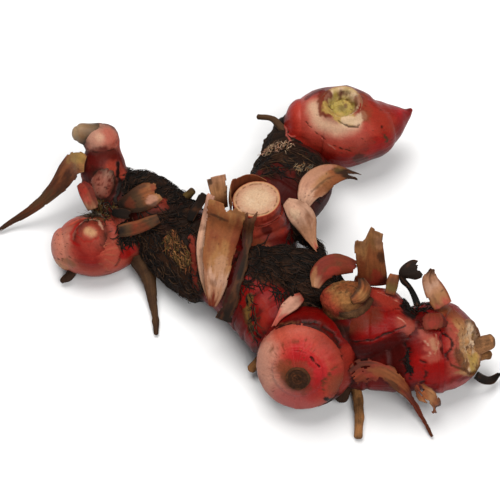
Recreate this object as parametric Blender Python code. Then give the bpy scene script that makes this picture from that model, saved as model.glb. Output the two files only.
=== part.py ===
"""Galangal rhizome, freshly dug and trimmed, lying on its underside.

The ringed lobes, the cut stems, the roots and the matted remains of old scales grew as one
piece, so they are one solid. Each dry scale that stands off it is a thin blade of its own.

Metres, +Z up. The tables are in millimetres, as (x, y, z, radius) for a lobe or a root and
(x, y, z, half width) for a blade, along its middle from its base to its tip.
"""

import math

import bmesh
import bpy
import numpy as np
from mathutils import Vector
from mathutils.bvhtree import BVHTree

MM = 0.001
ORIGIN = (-4.5, 0.6)  # mm: this point of the tables becomes x = 0, y = 0

# Rhizome
LOBE_SIDES = 18  # corners round a lobe
ROOT_SIDES = 6
LOBE_STEP = 5.0  # mm between the rows of a lobe
ROOT_STEP = 6.0
SHARP_FROM = 45  # degrees: a steeper edge shows as an edge
SCAR_DEPTH = 0.6  # mm that the skin drops at the ring where a scale grew
SCAR_HALF_WIDTH = 0.9
SWELL = 0.3  # mm that the skin rises midway between two rings
DOMES = {"round": 0.62, "low": 0.2, "cut": 0}  # height of an end, as a share of its radius
DOME_ROWS = (32, 62)  # degrees from the foot of a dome, at which it has a row
CURVE_POINTS = 16  # on a smooth curve, between two rows of a table
LEAST_RADIUS = 0.3  # mm
FLOOR_BLOCK = (400, 400, 50)  # mm: what dips into this block is cut to a small flat spot

# Blades
BLADE_THICKNESS = 0.7  # mm
BLADE_COLUMNS = 6
BLADE_STEP = 4.2  # mm between the rows of a blade
BLADE_CLEARANCE = 0.75  # mm from the middle of a blade to the skin of the rhizome
BASE_HOLD = 0.3  # share of a blade's length that its base takes to leave the skin
LIFT_STEP = 0.2  # mm: the least that one try lifts a blade's row
LIFT_TRIES = 60
TOWARDS_VIEWER = (0.0, -0.53, 0.85)  # most blades show this face

# The turned bulb at the front, with the cut stem on its face
BULB_CENTRE = (22.5, -47.1, 16.7)
BULB_AXIS = (-0.18, -0.735, 0.65)
BULB_PROFILE = [(-17.0, 8.0), (-12.5, 13.8), (-5.5, 17.6), (1.0, 18.8), (5.5, 18.6), (8.5, 17.2),
                (10.8, 14.0)]
STUB_PROFILE = [(9.0, 5.6), (15.0, 5.0), (18.3, 4.4)]
STUB_OFFSET = (-1.5, -1.7, -1.9)  # the stem is below the bulb's middle
PLATEAU_PROFILE = [(0.0, 14.5), (6.0, 16.4), (9.6, 16.8), (11.6, 15.9), (13.4, 13.4), (15.0, 9.5)]
PLATEAU_OFFSET = (-1.9, -0.7, -0.8)  # the plateau hides the bulb's shoulder at the lower left


def turned(centre, axis, profile):
    """The rows of a body turned on an axis: a profile of (height, radius) becomes a path."""
    axis = np.array(axis) / np.linalg.norm(axis)
    return [(*(np.array(centre) + height * axis), radius) for height, radius in profile]


STUB_CENTRE = tuple(np.array(BULB_CENTRE) + np.array(STUB_OFFSET))
PLATEAU_CENTRE = tuple(np.array(BULB_CENTRE) + np.array(PLATEAU_OFFSET))

# name: its path, its ends as DOMES lists them, the distances of its ring scars along the path
# and, where its outline needs them closer, the distance between its rows
LOBES = {
    "neck": dict(
        path=[(-52, 19.5, 16, 8), (-42.5, 14.5, 17, 11), (-32.5, 9, 17, 13), (-22, 1.5, 17.5, 15),
              (-12, -6.5, 18, 15.5), (-2, -16.5, 18, 15)],
        scars=[38, 46]),
    "centre_arm": dict(
        path=[(-14, -4, 18, 13), (-2, -16.5, 18, 15), (5.5, -25, 18, 15.5), (12.5, -36, 17.5, 14),
              (18, -43, 16.5, 12)],
        scars=[15, 21.5, 28, 34.5, 41]),
    "front_bulb": dict(
        path=turned(BULB_CENTRE, BULB_AXIS, BULB_PROFILE), ends=("round", "low"), step=3),
    "front_plateau": dict(
        path=turned(PLATEAU_CENTRE, BULB_AXIS, PLATEAU_PROFILE), ends=("round", "low"), step=2.2),
    "front_stub": dict(
        path=turned(STUB_CENTRE, BULB_AXIS, STUB_PROFILE), ends=("round", "cut")),
    "mid_lobe": dict(
        path=[(30, -38.5, 17.5, 8.5), (36.5, -37.5, 20.5, 13), (43, -38, 23.3, 14.2),
              (49.5, -39, 25, 12.8), (54.5, -40.5, 27, 10.2), (58, -41.7, 28.8, 7.6),
              (61, -42.3, 30.2, 5), (63, -42.5, 31, 3)],
        scars=[13]),
    "mid_upper": dict(
        path=[(36.5, -37.5, 26.5, 10.5), (45, -34.5, 28, 9.8), (53, -32.5, 28, 7.5), (58, -33, 28, 4)]),
    "mid_stub": dict(
        path=[(37, -36, 28, 7.5), (36.6, -34, 31.5, 8.7), (36.1, -32, 34.4, 9.5)],
        ends=("round", "round"), step=3),
    "mid_rim": dict(
        path=[(32.8, -37, 36.6, 1), (34, -39, 37.2, 1.3), (36.3, -40.2, 37.4, 1.4),
              (39.6, -40, 37.6, 1.4), (43, -37.8, 37.7, 1.3), (45.2, -34.2, 37.4, 1)]),
    "lower_right": dict(
        path=[(29, -45, 11, 8), (37, -46.5, 12, 10.5), (47, -47, 13.5, 12),
              (57, -47, 15, 13), (63.5, -46, 16, 14)],
        scars=[16, 27]),
    "right_end": dict(
        path=[(57.5, -47.5, 16, 13), (62.5, -45.5, 17, 16), (68.5, -44, 17, 17.5),
              (74, -43.5, 17.2, 17.6), (78.5, -44.6, 18.6, 15.8), (81.5, -45.6, 20.4, 13),
              (83.7, -46.3, 21.8, 10.8)],
        scars=[8, 22], ends=("round", "cut")),
    "upper_arm": dict(
        path=[(-4, -8, 17, 13), (3, 5.5, 17, 13.5), (10.5, 21, 16.5, 15), (17, 33, 16.3, 16.7),
              (18.5, 38.5, 16, 16)],
        scars=[27, 36]),
    "upper_neck": dict(
        path=[(14, 36, 15, 13), (15.5, 44, 14, 12), (16.5, 52, 13, 10.8), (20, 60, 15, 10)],
        scars=[9]),
    "upper_bulb": dict(
        path=[(21, 60.5, 21, 10.5), (25, 60.5, 21, 13.2), (31.5, 60.5, 21, 15.6),
              (40, 59, 21, 17.4), (51, 59, 21, 13.4), (57, 61, 21, 9.6),
              (62, 63.5, 21, 5.8), (65.5, 65.5, 21, 2.8), (68, 68, 21, 1)]),
    "upper_rim": dict(
        path=[(38.5, 60.5, 27, 9), (37.6, 59.6, 36.4, 8.2)], ends=("round", "cut")),
    "disc_stem": dict(
        path=[(6, 0, 20, 12.5), (5, 3.5, 27, 11), (3, 7.5, 34.5, 9.7), (2.5, 8.5, 42, 9.3)],
        scars=[10, 17], ends=("round", "cut")),
    "left_shoot": dict(
        path=[(-48.5, 17, 18, 8), (-56.5, 24, 21, 10), (-59, 30, 26, 9.8), (-59.3, 34, 31, 8.6),
              (-59.3, 36.8, 35.5, 7), (-59.6, 38.4, 38.5, 7.2), (-59.5, 39.2, 41, 6.8)],
        scars=[20]),
    "shoot_knob": dict(
        path=[(-61, 40, 42, 3.5), (-65, 40, 42, 4), (-68, 40, 42, 4), (-69.5, 40, 42, 3)]),
    "left_bulb": dict(
        path=[(-45, 15.5, 15, 9), (-52.5, 9.5, 13.5, 11.5), (-60.5, 6.5, 12.2, 12.8),
              (-67.5, 5.5, 12.2, 12.2), (-72.3, 4.5, 12.4, 10.6), (-74.8, 4, 12.4, 8.8)],
        scars=[10]),
    "left_stub": dict(
        path=[(-63, 4, 18, 9), (-63.2, 3.6, 22.6, 7), (-63.3, 3.2, 25.4, 4.4), (-63.3, 3, 26.8, 2.8)],
        ends=("round", "cut"), step=2.5),
    "pink_bud": dict(
        path=[(-57.5, 30, 32, 3), (-58.5, 25.5, 31.5, 4.4), (-59, 22, 28, 4.4),
              (-59.5, 19.5, 24, 2.5)]),
    "side_bud": dict(
        path=[(-44.5, 15.5, 20, 8), (-39.5, 13.5, 24, 8), (-36, 12.5, 27, 6), (-34.5, 11.5, 28, 3)]),
    "back_mat": dict(
        path=[(-53, 26.5, 21, 8.5), (-46, 25, 23, 8.5), (-40, 22.5, 24, 8.5),
              (-34, 18.5, 21, 8.5), (-26.5, 12.5, 19, 9.5)]),
    "neck_mat": dict(
        path=[(-39, 4.5, 14, 7), (-32.5, -2, 13.5, 8.2), (-26.5, -7.5, 13.5, 8.5),
              (-19.5, -13.5, 14, 8)]),
    "crown_mat": dict(
        path=[(2, -11, 23, 9), (13.5, -14.5, 24, 11), (21.5, -17.5, 24, 10.5),
              (29, -23.5, 24, 9.5)]),
    "crown_loop": dict(
        path=[(15.5, 9, 22, 3), (21, 2, 25, 2.6), (26, -4, 27, 2.2), (28.5, -9.5, 26, 2),
              (27, -16, 24, 2.6)]),
}

ROOTS = {
    "root_neck": [(-46, 6, 11, 5), (-43, -1, 8.5, 4.4), (-41, -6.5, 7, 3), (-39.5, -14, 4, 2.1),
                  (-38, -22, 2.6, 1.5), (-37.5, -29, 1.6, 1)],
    "root_back": [(-30, 17, 20, 3), (-27, 19.3, 25, 1.7), (-23.2, 21, 29, 1.5)],
    "root_upper": [(22, 52, 20, 3), (14, 57, 22, 1.8), (9, 61.5, 23.5, 1.4), (3.5, 62, 24, 1.2)],
    "root_front": [(11, -38, 11, 3), (6, -42, 8, 2.1), (0.5, -46.5, 5, 1.9)],
    "root_long": [(39, -47, 8, 3), (40.5, -53, 5, 2.2), (42, -59.5, 3, 2), (42, -66.5, 2.5, 1.9),
                  (41.5, -74, 2, 1.6)],
    "root_stub": [(36, -47, 8, 4), (36.5, -54, 6, 3.2), (35.5, -59, 4.5, 2.6)],
    "root_left": [(-67, 6, 8, 4), (-71, 0, 6, 2.2), (-73.5, -3.5, 4, 2), (-76.5, -5.5, 3, 1.1)],
    "root_end_high": [(76, -43, 13, 4), (86, -42.3, 15, 3.4), (93, -40.8, 16.8, 2.9)],
    "root_end_low": [(76, -43, 9.5, 4), (87, -42.9, 9.6, 2.4), (93.5, -42.4, 8.6, 1.8)],
}

# Where a stem was torn out: a bowl in the top of the upper bulb
HOLLOWS = {
    "upper_hollow": [(37.8, 60, 34.2, 4.4), (37.6, 59.8, 35.4, 6.4), (37.2, 59, 43, 7.6)],
}

# name: spine, face, cup (degrees that each half bends back from the face; negative bends to it),
# twist (degrees from base to tip), cut (share of the length reached across the tip, left to
# right), ragged (share of the half width), material slot
BLADES = {
    "scale_centre": dict(
        spine=[(-14.5, -23, 14, 1.6), (-13.5, -18.5, 18, 3.8), (-12.8, -13.5, 25, 5.4),
               (-11.5, -6.5, 32, 6.6), (-9.5, 0.5, 38, 7.5), (-8.5, 6.5, 43, 7.9)],
        cup=22, cut=(1, 0.99, 0.96, 0.95, 0.92), ragged=0.03, clearance=2.6,
        slot="scale_straw"),
    "scale_centre_edge": dict(
        spine=[(-16, -20, 15, 0.8), (-18, -14.5, 22, 1.5), (-19, -6, 29, 1.8),
               (-17.5, 0.5, 37, 1.8), (-15, 9, 45, 1.7)],
        cup=30, cut=(1, 0.98), ragged=0.03, clearance=1.2, slot="scale_pink"),
    "scale_centre_dark": dict(
        spine=[(-10, -26.5, 9, 3.4), (-6.4, -19, 18, 2.8), (-2.8, -10.5, 26, 2.3),
               (-1.2, -3.5, 31, 2.2), (0.5, 6, 37, 2.5)],
        cup=20, cut=(1, 0.98, 1), ragged=0.08, slot="scale_dark"),
    "scale_centre_side": dict(
        spine=[(-20.5, 6.5, 28.5, 1.6), (-19.8, 11, 32.5, 2.6), (-18.6, 15.2, 36.5, 2.2)],
        face=(-0.5, -0.4, 0.75), cup=35, cut=(0.9, 1, 0.95), ragged=0.08, slot="scale_black"),
    "scale_pink_strip": dict(
        spine=[(-11, 9, 35, 2.3), (-12.3, 12.6, 40.5, 3.4), (-13.2, 16.6, 46, 3.8)],
        cup=15, cut=(0.95, 1, 1), ragged=0.05, slot="scale_pink"),
    "scale_disc_wrap": dict(
        spine=[(-4.6, 15.2, 34, 12), (-4.4, 16.2, 41, 12.6), (-4.2, 17, 48, 11.4)],
        face=(-0.7, 0.7, 0.1), cup=68, cut=(0.45, 0.68, 0.72, 1, 0.55), ragged=0.03,
        slot="scale_pink"),
    "scale_upper_forked": dict(
        spine=[(21.5, 16.5, 25, 2.5), (23.5, 20, 30, 5), (27, 23, 33, 6), (32, 25, 35, 5),
               (37, 26, 34, 3.2), (41.5, 27.5, 31, 1.8), (45, 27.5, 29, 1.4)],
        cup=26, twist=20, cut=(1, 0.86, 0.97), ragged=0.06, slot="scale_pink"),
    "scale_spoon": dict(
        spine=[(14, 8.5, 40, 2), (18, 4.5, 40, 4.6), (21.5, 0.5, 38, 4.8), (23.5, -3, 33, 2.6),
               (25, -5.5, 31, 1.5), (26.5, -8, 29.8, 0.6)],
        cup=22, cut=(1,), ragged=0.04, clearance=1.1, slot="scale_pink"),
    "scale_crown_fold": dict(
        spine=[(25, -24.5, 30, 1.5), (26.5, -20.5, 33, 4), (30.5, -18.5, 36, 4.5),
               (35.5, -18.5, 37, 4), (40.8, -19.5, 37, 2.2)],
        cup=30, cut=(1,), ragged=0.04, slot="scale_red"),
    "scale_crown_tall": dict(
        spine=[(46.4, -23.4, 29.5, 6.4), (46.4, -21.8, 35.5, 6), (45.6, -19.5, 41.5, 5.6),
               (45, -16.5, 47, 5.5), (45, -15.5, 51, 5.5), (45.3, -13.5, 56, 5.3)],
        cup=14, cut=(0.76, 0.77, 0.79, 1, 0.97, 0.94, 0.9), ragged=0.04, slot="scale_straw"),
    "scale_crown_hook": dict(
        spine=[(37.6, -37.4, 42, 1.6), (40.2, -36.4, 42.4, 2.7), (42.5, -33.8, 42.8, 3.2),
               (43.2, -30.8, 43.2, 2.9), (41.8, -27.9, 43.4, 1.4)],
        face=(0.4, -0.45, 0.8), cup=35, cut=(1,), ragged=0.06, slot="scale_dark"),
    "scale_arm_small": dict(
        spine=[(20, -31, 34, 1.8), (18, -33, 35, 2.6), (14.5, -35.5, 34.5, 2.6),
               (11.5, -39, 33.5, 1.3), (8.5, -43, 31.5, 0.6)],
        cup=18, cut=(1,), ragged=0.05, slot="scale_pink"),
    "scale_mid_strip": dict(
        spine=[(53, -28, 31, 2), (54, -25.5, 34.5, 2.3), (55.5, -23, 38, 1.8)],
        cup=15, cut=(0.9, 1), ragged=0.06, slot="scale_dark"),
    "scale_black_curl": dict(
        spine=[(64, -32.5, 30, 1.4), (62, -28.5, 33, 1.1), (59.5, -26.5, 36.5, 1.1),
               (57, -25, 39, 1.5), (60, -24.5, 41, 3.4), (63, -23.5, 42, 3.8), (66, -24, 42, 2.4)],
        cup=18, cut=(1, 0.9, 1), ragged=0.05, slot="scale_black"),
    "scale_end_pale": dict(
        spine=[(73, -34.5, 33, 3.6), (71, -32, 36, 4), (68.5, -29, 40, 3.5), (67.5, -27, 43, 2.5),
               (68.5, -25.5, 45.5, 0.9)],
        cup=22, cut=(1,), ragged=0.06, slot="scale_pink"),
    "scale_end_base": dict(
        spine=[(69.2, -39.4, 36, 3.5), (69.3, -41.6, 36, 4.8), (69.1, -44.2, 35.5, 4.7),
               (68.7, -47.2, 34.3, 3.1)],
        cup=20, cut=(1, 0.9, 1), ragged=0.06, slot="scale_red"),
    "husk_strand": dict(
        spine=[(38.5, -56, 17, 4), (43, -54.5, 19.5, 5), (49.5, -55, 19.5, 4.3),
               (55.5, -57, 15, 3), (60.5, -60, 10, 2), (65.5, -66, 4.5, 1.1),
               (70, -74, 1.6, 0.7)],
        cup=24, cut=(1,), ragged=0.12, slot="scale_straw"),
    "husk_tuft": dict(
        spine=[(59.8, -57.5, 14, 2), (63, -59.5, 10.8, 3.4), (67.5, -62.3, 7, 4.6),
               (72.3, -64.3, 5, 3.6)],
        face=(0.3, -0.5, 0.8), cup=12, cut=(0.85, 1, 0.9, 1, 0.82), ragged=0.1,
        slot="scale_straw"),
    "scale_end_black": dict(
        spine=[(86.5, -51.5, 10, 1.6), (90.5, -52.5, 7.5, 1.8), (93.5, -52, 5.5, 1.7),
               (97.5, -48.5, 5, 0.7)],
        cup=15, twist=30, cut=(1,), ragged=0.05, slot="scale_black"),
    "leaf_long_dry": dict(
        spine=[(-64, 32.5, 30, 3.6), (-68, 34.5, 28, 5), (-72.5, 34.5, 26, 5.4),
               (-77.5, 31.5, 21, 4.4), (-84, 28.5, 14, 2.8), (-92, 25, 8, 2),
               (-100.5, 22, 3.5, 1.2), (-106.5, 18, 1.6, 0.7)],
        face=(-0.25, -0.45, 0.85), cup=20, twist=-15, cut=(1,), ragged=0.05, slot="scale_dark"),
    "scale_shoot_wrap": dict(
        spine=[(-60.5, 18, 20, 2.6), (-62, 21.5, 22.5, 3.2), (-64, 25, 24.5, 3.2),
               (-66, 27.5, 25.2, 1.8)],
        face=(-0.3, -0.5, 0.8), cup=30, cut=(1,), ragged=0.04, slot="scale_red"),
    "scale_neck_tan": dict(
        spine=[(-52.5, 13.5, 29, 2.4), (-47, 14, 31, 4.2), (-41, 16, 32.5, 5.2), (-36, 18, 33.5, 3.6)],
        cup=22, cut=(1, 0.95, 1), ragged=0.06, slot="scale_straw"),
    "scale_neck_brown": dict(
        spine=[(-36, 8.5, 28, 2), (-41, 5.5, 28.5, 2.6), (-47.5, 3.5, 28, 2.8), (-53, 3, 27, 2.2)],
        cup=18, cut=(1, 0.95, 1), ragged=0.06, slot="scale_dark"),
    "scale_neck_black": dict(
        spine=[(-55, 11, 29, 1.5), (-51.5, 9.8, 30, 2.2), (-47.5, 8.6, 30.5, 1.6)],
        cup=15, cut=(1,), ragged=0.08, slot="scale_black"),
}

# slot: (base colour, roughness)
FINISHES = {
    "skin": ((0.33, 0.035, 0.028), 0.42),
    "scale_straw": ((0.42, 0.21, 0.09), 0.7),
    "scale_pink": ((0.55, 0.31, 0.22), 0.65),
    "scale_red": ((0.28, 0.06, 0.04), 0.6),
    "scale_dark": ((0.055, 0.03, 0.02), 0.8),
    "scale_black": ((0.02, 0.014, 0.012), 0.85),
}


def clear_scene():
    for obj in list(bpy.data.objects):
        bpy.data.objects.remove(obj, do_unlink=True)


def unit(vectors):
    return vectors / np.linalg.norm(vectors, axis=-1, keepdims=True)


def smooth_rows(points, at):
    """Rows of a Catmull-Rom curve through the points; `at` runs from 0 to 1 by length."""
    points = np.array(points, float)
    ends = np.vstack([2 * points[0] - points[1], points, 2 * points[-1] - points[-2]])
    fine = []
    for k in range(len(points) - 1):
        a, b, c, d = ends[k:k + 4]
        for t in np.linspace(0, 1, CURVE_POINTS, endpoint=False):
            fine.append(0.5 * (2 * b + (c - a) * t + (2 * a - 5 * b + 4 * c - d) * t * t
                               + (3 * b - a - 3 * c + d) * t**3))
    fine = np.array(fine + [points[-1]])
    fine[:, 3] = np.maximum(fine[:, 3], LEAST_RADIUS)
    run = np.concatenate([[0], np.cumsum(np.linalg.norm(np.diff(fine[:, :3], axis=0), axis=1))])
    wanted = np.asarray(at) * run[-1]
    return np.stack([np.interp(wanted, run, fine[:, i]) for i in range(4)], axis=-1), run[-1]


def carried_frames(centres):
    """Two directions across a path at each row, carried along it without twisting."""
    tangents = unit(np.gradient(centres, axis=0))
    side = np.cross(tangents[0], (0, 0, 1) if abs(tangents[0][2]) < 0.9 else (1, 0, 0))
    sides = []
    for tangent in tangents:
        side = unit(side - tangent * side.dot(tangent))
        sides.append(side)
    sides = np.array(sides)
    return tangents, sides, np.cross(tangents, sides)


def scarred(radii, distances, scars):
    """Radii with a groove at each ring scar and a swelling between two of them."""
    radii = radii.copy()
    for scar in scars:
        radii -= SCAR_DEPTH * np.exp(-((distances - scar) / SCAR_HALF_WIDTH) ** 2)
    for first, last in zip(scars, scars[1:]):
        between = (distances > first) & (distances < last)
        share = (distances - first) / (last - first)
        radii = np.where(between, radii + SWELL * np.sin(math.pi * share), radii)
    return radii


def tube_mesh(name, path, scars=(), ends=("round", "round"), sides=LOBE_SIDES, step=LOBE_STEP):
    """A closed round body along a path."""
    length = smooth_rows(path, [0])[1]
    stops = set(np.linspace(0, length, max(3, round(length / step) + 1)))
    for scar in scars:
        stops = {s for s in stops if abs(s - scar) > 1.4 * SCAR_HALF_WIDTH or s in (0, length)}
        stops |= {scar - SCAR_HALF_WIDTH, scar, scar + SCAR_HALF_WIDTH}
    distances = np.array(sorted(s for s in stops if 0 <= s <= length))
    rows, _ = smooth_rows(path, distances / length)
    centres, radii = rows[:, :3], scarred(rows[:, 3], distances, scars)
    tangents, sideways, upward = carried_frames(centres)
    rings = []
    for index, direction in ((0, -1), (len(centres) - 1, 1)):
        cap = []
        dome = DOMES[ends[index != 0]]
        if dome:
            for angle in np.radians(DOME_ROWS):
                lift = direction * dome * radii[index] * math.sin(angle)
                cap.append((centres[index] + tangents[index] * lift,
                            radii[index] * math.cos(angle), index))
        rings.append(cap)
    body = [(centres[k], radii[k], k) for k in range(len(centres))]
    whole = rings[0][::-1] + body + rings[1]
    mesh = bmesh.new()
    around = 2 * math.pi * np.arange(sides) / sides
    loops = []
    for centre, radius, k in whole:
        offsets = np.outer(np.cos(around), sideways[k]) + np.outer(np.sin(around), upward[k])
        loops.append([mesh.verts.new(Vector(p) * MM) for p in centre + radius * offsets])
    for low, high in zip(loops, loops[1:]):
        for i in range(sides):
            j = (i + 1) % sides
            mesh.faces.new((low[i], low[j], high[j], high[i]))
    for loop, k, direction in ((loops[0], 0, -1), (loops[-1], -1, 1)):
        lift = DOMES[ends[k != 0]] * radii[k]
        pole = mesh.verts.new(Vector(centres[k] + direction * lift * tangents[k]) * MM)
        for i in range(sides):
            j = (i + 1) % sides
            mesh.faces.new((loop[j], loop[i], pole) if k == 0 else (loop[i], loop[j], pole))
    bmesh.ops.translate(mesh, verts=mesh.verts, vec=origin_shift())
    bmesh.ops.recalc_face_normals(mesh, faces=mesh.faces)
    return object_from(name, mesh)


def origin_shift():
    return Vector((-ORIGIN[0] * MM, -ORIGIN[1] * MM, 0))


def object_from(name, mesh):
    data = bpy.data.meshes.new(name)
    mesh.to_mesh(data)
    mesh.free()
    obj = bpy.data.objects.new(name, data)
    bpy.context.scene.collection.objects.link(obj)
    return obj


def finish_material(slot, name):
    colour, roughness = FINISHES[slot]
    material = bpy.data.materials.new(name)
    material.use_nodes = True
    shader = material.node_tree.nodes["Principled BSDF"]
    shader.inputs["Base Color"].default_value = (*colour, 1)
    shader.inputs["Roughness"].default_value = roughness
    return material


def floor_cutter():
    """The block under the surface that the rhizome lies on."""
    mesh = bmesh.new()
    bmesh.ops.create_cube(mesh, size=1)
    bmesh.ops.scale(mesh, verts=mesh.verts, vec=Vector(FLOOR_BLOCK) * MM)
    bmesh.ops.translate(mesh, verts=mesh.verts, vec=(0, 0, -0.5 * FLOOR_BLOCK[2] * MM))
    return object_from("floor_cutter", mesh)


def gathered(name, pieces):
    """A collection of helper shapes that a Boolean works with."""
    collection = bpy.data.collections.new(name)
    bpy.context.scene.collection.children.link(collection)
    for piece in pieces:
        bpy.context.scene.collection.objects.unlink(piece)
        collection.objects.link(piece)
        piece.hide_render = True
        piece.display_type = "WIRE"
    return collection


def combine(body, operation, pieces):
    """Joins the pieces to the body, or cuts them from it, and removes them."""
    collection = gathered(operation.lower(), pieces)
    modifier = body.modifiers.new(operation.lower(), "BOOLEAN")
    modifier.operation = operation
    modifier.operand_type = "COLLECTION"
    modifier.collection = collection
    modifier.solver = "MANIFOLD"
    bpy.context.view_layer.update()
    evaluated = body.evaluated_get(bpy.context.evaluated_depsgraph_get())
    body.data = bpy.data.meshes.new_from_object(evaluated)
    body.modifiers.clear()
    for piece in pieces:
        bpy.data.objects.remove(piece, do_unlink=True)
    bpy.data.collections.remove(collection)


def drop_scraps(data):
    """Leaves only the largest body, without specks cut off where two lobes graze."""
    mesh = bmesh.new()
    mesh.from_mesh(data)
    unseen = set(mesh.verts)
    bodies = []
    while unseen:
        body, edge = set(), {unseen.pop()}
        while edge:
            body |= edge
            edge = {e.other_vert(v) for v in edge for e in v.link_edges} - body
        unseen -= body
        bodies.append(body)
    largest = max(bodies, key=len)
    bmesh.ops.delete(mesh, geom=[v for v in mesh.verts if v not in largest], context="VERTS")
    mesh.to_mesh(data)
    mesh.free()


def build_rhizome():
    """All the lobes, stems, mats and roots, joined and cut flat where they rest."""
    lobes = [tube_mesh(name, **shape) for name, shape in LOBES.items()]
    roots = [tube_mesh(name, path, sides=ROOT_SIDES, step=ROOT_STEP)
             for name, path in ROOTS.items()]
    hollows = [tube_mesh(name, path, ends=("round", "cut")) for name, path in HOLLOWS.items()]
    rhizome = lobes[0]
    rhizome.name = "rhizome"
    combine(rhizome, "UNION", lobes[1:] + roots)
    combine(rhizome, "DIFFERENCE", hollows + [floor_cutter()])
    drop_scraps(rhizome.data)
    rhizome.data.materials.clear()
    rhizome.data.materials.append(finish_material("skin", "rhizome_skin"))
    rhizome.data.shade_smooth()
    rhizome.data.set_sharp_from_angle(angle=math.radians(SHARP_FROM))
    return rhizome


def signed_distance(tree, point, face):
    """Distance from the skin, below zero inside it: from there, the way along face leads out."""
    distance = tree.find_nearest(Vector(point))[3]
    place, normal, _, _ = tree.ray_cast(Vector(point), Vector(face))
    return -distance if place is not None and normal.dot(Vector(face)) > 0 else distance


def lift_clear(grid, face, tree, clearance):
    """Moves the rows of a blade along its face until each point is clear of the rhizome."""
    rows = np.repeat(grid, 2, axis=0)[:-1]
    rows[1::2] = (grid[:-1] + grid[1:]) / 2
    needed = np.zeros(len(rows))
    for k, row in enumerate(rows):
        for point in np.concatenate([row, (row[:-1] + row[1:]) / 2]):
            for _ in range(LIFT_TRIES):
                short = clearance - signed_distance(tree, point + needed[k] * face, face)
                if short <= 0:
                    break
                needed[k] += 0.6 * short + LIFT_STEP * MM
    beside = np.pad(needed, 1)
    lifts = np.maximum(needed, np.maximum(beside[:-2], beside[2:]))[::2]
    padded = np.pad(lifts, 1, mode="edge")
    eased = np.maximum(lifts, (padded[:-2] + lifts + padded[2:]) / 3)
    return grid + eased[:, None, None] * face


def settle_base(grid, face, tree, clearance):
    """Brings the base of a blade down to the skin that it grew from."""
    middle = grid[0][len(grid[0]) // 2]
    gap = signed_distance(tree, middle, face) - clearance
    if gap <= 0:
        return grid
    place, _, _, below = tree.ray_cast(Vector(middle), Vector(-face))
    drop = max(0.0, below - clearance) if place is not None else gap
    share = np.clip(1 - np.arange(len(grid)) / (BASE_HOLD * len(grid)), 0, 1)
    return grid - (drop * share * share)[:, None, None] * face


def blade_grid(spine, face, cup, twist, cut, ragged, rng, columns, step):
    """Points of a blade's middle surface, from its base to its tip and from left to right."""
    _, length = smooth_rows(spine, [0])
    rows = max(4, round(length / step) + 1)
    across = np.linspace(-1, 1, columns + 1)
    reach = np.interp(across, np.linspace(-1, 1, max(2, len(cut))), np.resize(cut, max(2, len(cut))))
    edge = 1 + ragged * rng.uniform(-1, 1, (rows, 2))
    bend = math.radians(cup)
    grid = np.zeros((rows, columns + 1, 3))
    for j, u in enumerate(across):
        at = np.linspace(0, 1, rows) * reach[j]
        line, _ = smooth_rows(spine, at)
        tangents = unit(np.gradient(line[:, :3], axis=0))
        sideways = unit(np.cross(tangents, face))
        normals = np.cross(sideways, tangents)
        turn = np.radians(twist) * at
        turned_side = (sideways * np.cos(turn)[:, None] + normals * np.sin(turn)[:, None])
        turned_normal = np.cross(turned_side, tangents)
        half = line[:, 3] * np.where(u < 0, edge[:, 0], edge[:, 1])
        out = np.sin(u * bend) / bend * half
        back = (np.cos(u * bend) - 1) / abs(bend) * half * np.sign(bend)
        grid[:, j] = line[:, :3] + turned_side * out[:, None] + turned_normal * back[:, None]
    return grid


def blade_mesh(name, grid, thickness):
    """A closed thin body round a grid of points, both faces split into triangles alike."""
    along = np.gradient(grid, axis=0)
    across = np.gradient(grid, axis=1)
    normals = unit(np.cross(across, along))
    mesh = bmesh.new()
    rows, columns = grid.shape[:2]
    faces = [[[mesh.verts.new(grid[k, j] + side * 0.5 * thickness * normals[k, j])
               for j in range(columns)] for k in range(rows)] for side in (1, -1)]
    for k in range(rows - 1):
        for j in range(columns - 1):
            for layer, flip in ((faces[0], False), (faces[1], True)):
                a, b = layer[k][j], layer[k][j + 1]
                c, d = layer[k + 1][j + 1], layer[k + 1][j]
                for corners in ((a, b, c), (a, c, d)):
                    mesh.faces.new(corners[::-1] if flip else corners)
    rim = ([(0, j) for j in range(columns)] + [(k, columns - 1) for k in range(1, rows)]
           + [(rows - 1, j) for j in range(columns - 2, -1, -1)]
           + [(k, 0) for k in range(rows - 2, 0, -1)])
    for (k, j), (m, n) in zip(rim, rim[1:] + rim[:1]):
        mesh.faces.new((faces[0][k][j], faces[1][k][j], faces[1][m][n]))
        mesh.faces.new((faces[0][k][j], faces[1][m][n], faces[0][m][n]))
    bmesh.ops.recalc_face_normals(mesh, faces=mesh.faces)
    return object_from(name, mesh)


def build_blade(name, tree, rng, spine, slot, cut, cup=20, twist=0, ragged=0.05,
                face=TOWARDS_VIEWER, clearance=BLADE_CLEARANCE):
    """One dry scale, standing off the rhizome from a base close to its skin."""
    face = unit(np.array(face))
    grid = blade_grid(spine, face, cup, twist, cut, ragged, rng, BLADE_COLUMNS, BLADE_STEP) * MM
    grid += np.array(origin_shift())
    grid = settle_base(grid, face, tree, clearance * MM)
    grid = lift_clear(grid, face, tree, clearance * MM)
    grid[:, :, 2] = np.maximum(grid[:, :, 2], 0.5 * BLADE_THICKNESS * MM)
    blade = blade_mesh(name, grid, BLADE_THICKNESS * MM)
    blade.data.materials.append(finish_material(slot, name))
    blade.data.shade_smooth()
    blade.data.set_sharp_from_angle(angle=math.radians(SHARP_FROM))
    return blade


def main():
    clear_scene()
    rhizome = build_rhizome()
    mesh = bmesh.new()
    mesh.from_mesh(rhizome.data)
    tree = BVHTree.FromBMesh(mesh)
    mesh.free()
    rng = np.random.default_rng(11)
    for name, shape in BLADES.items():
        build_blade(name, tree, rng, **shape)


main()
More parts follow.
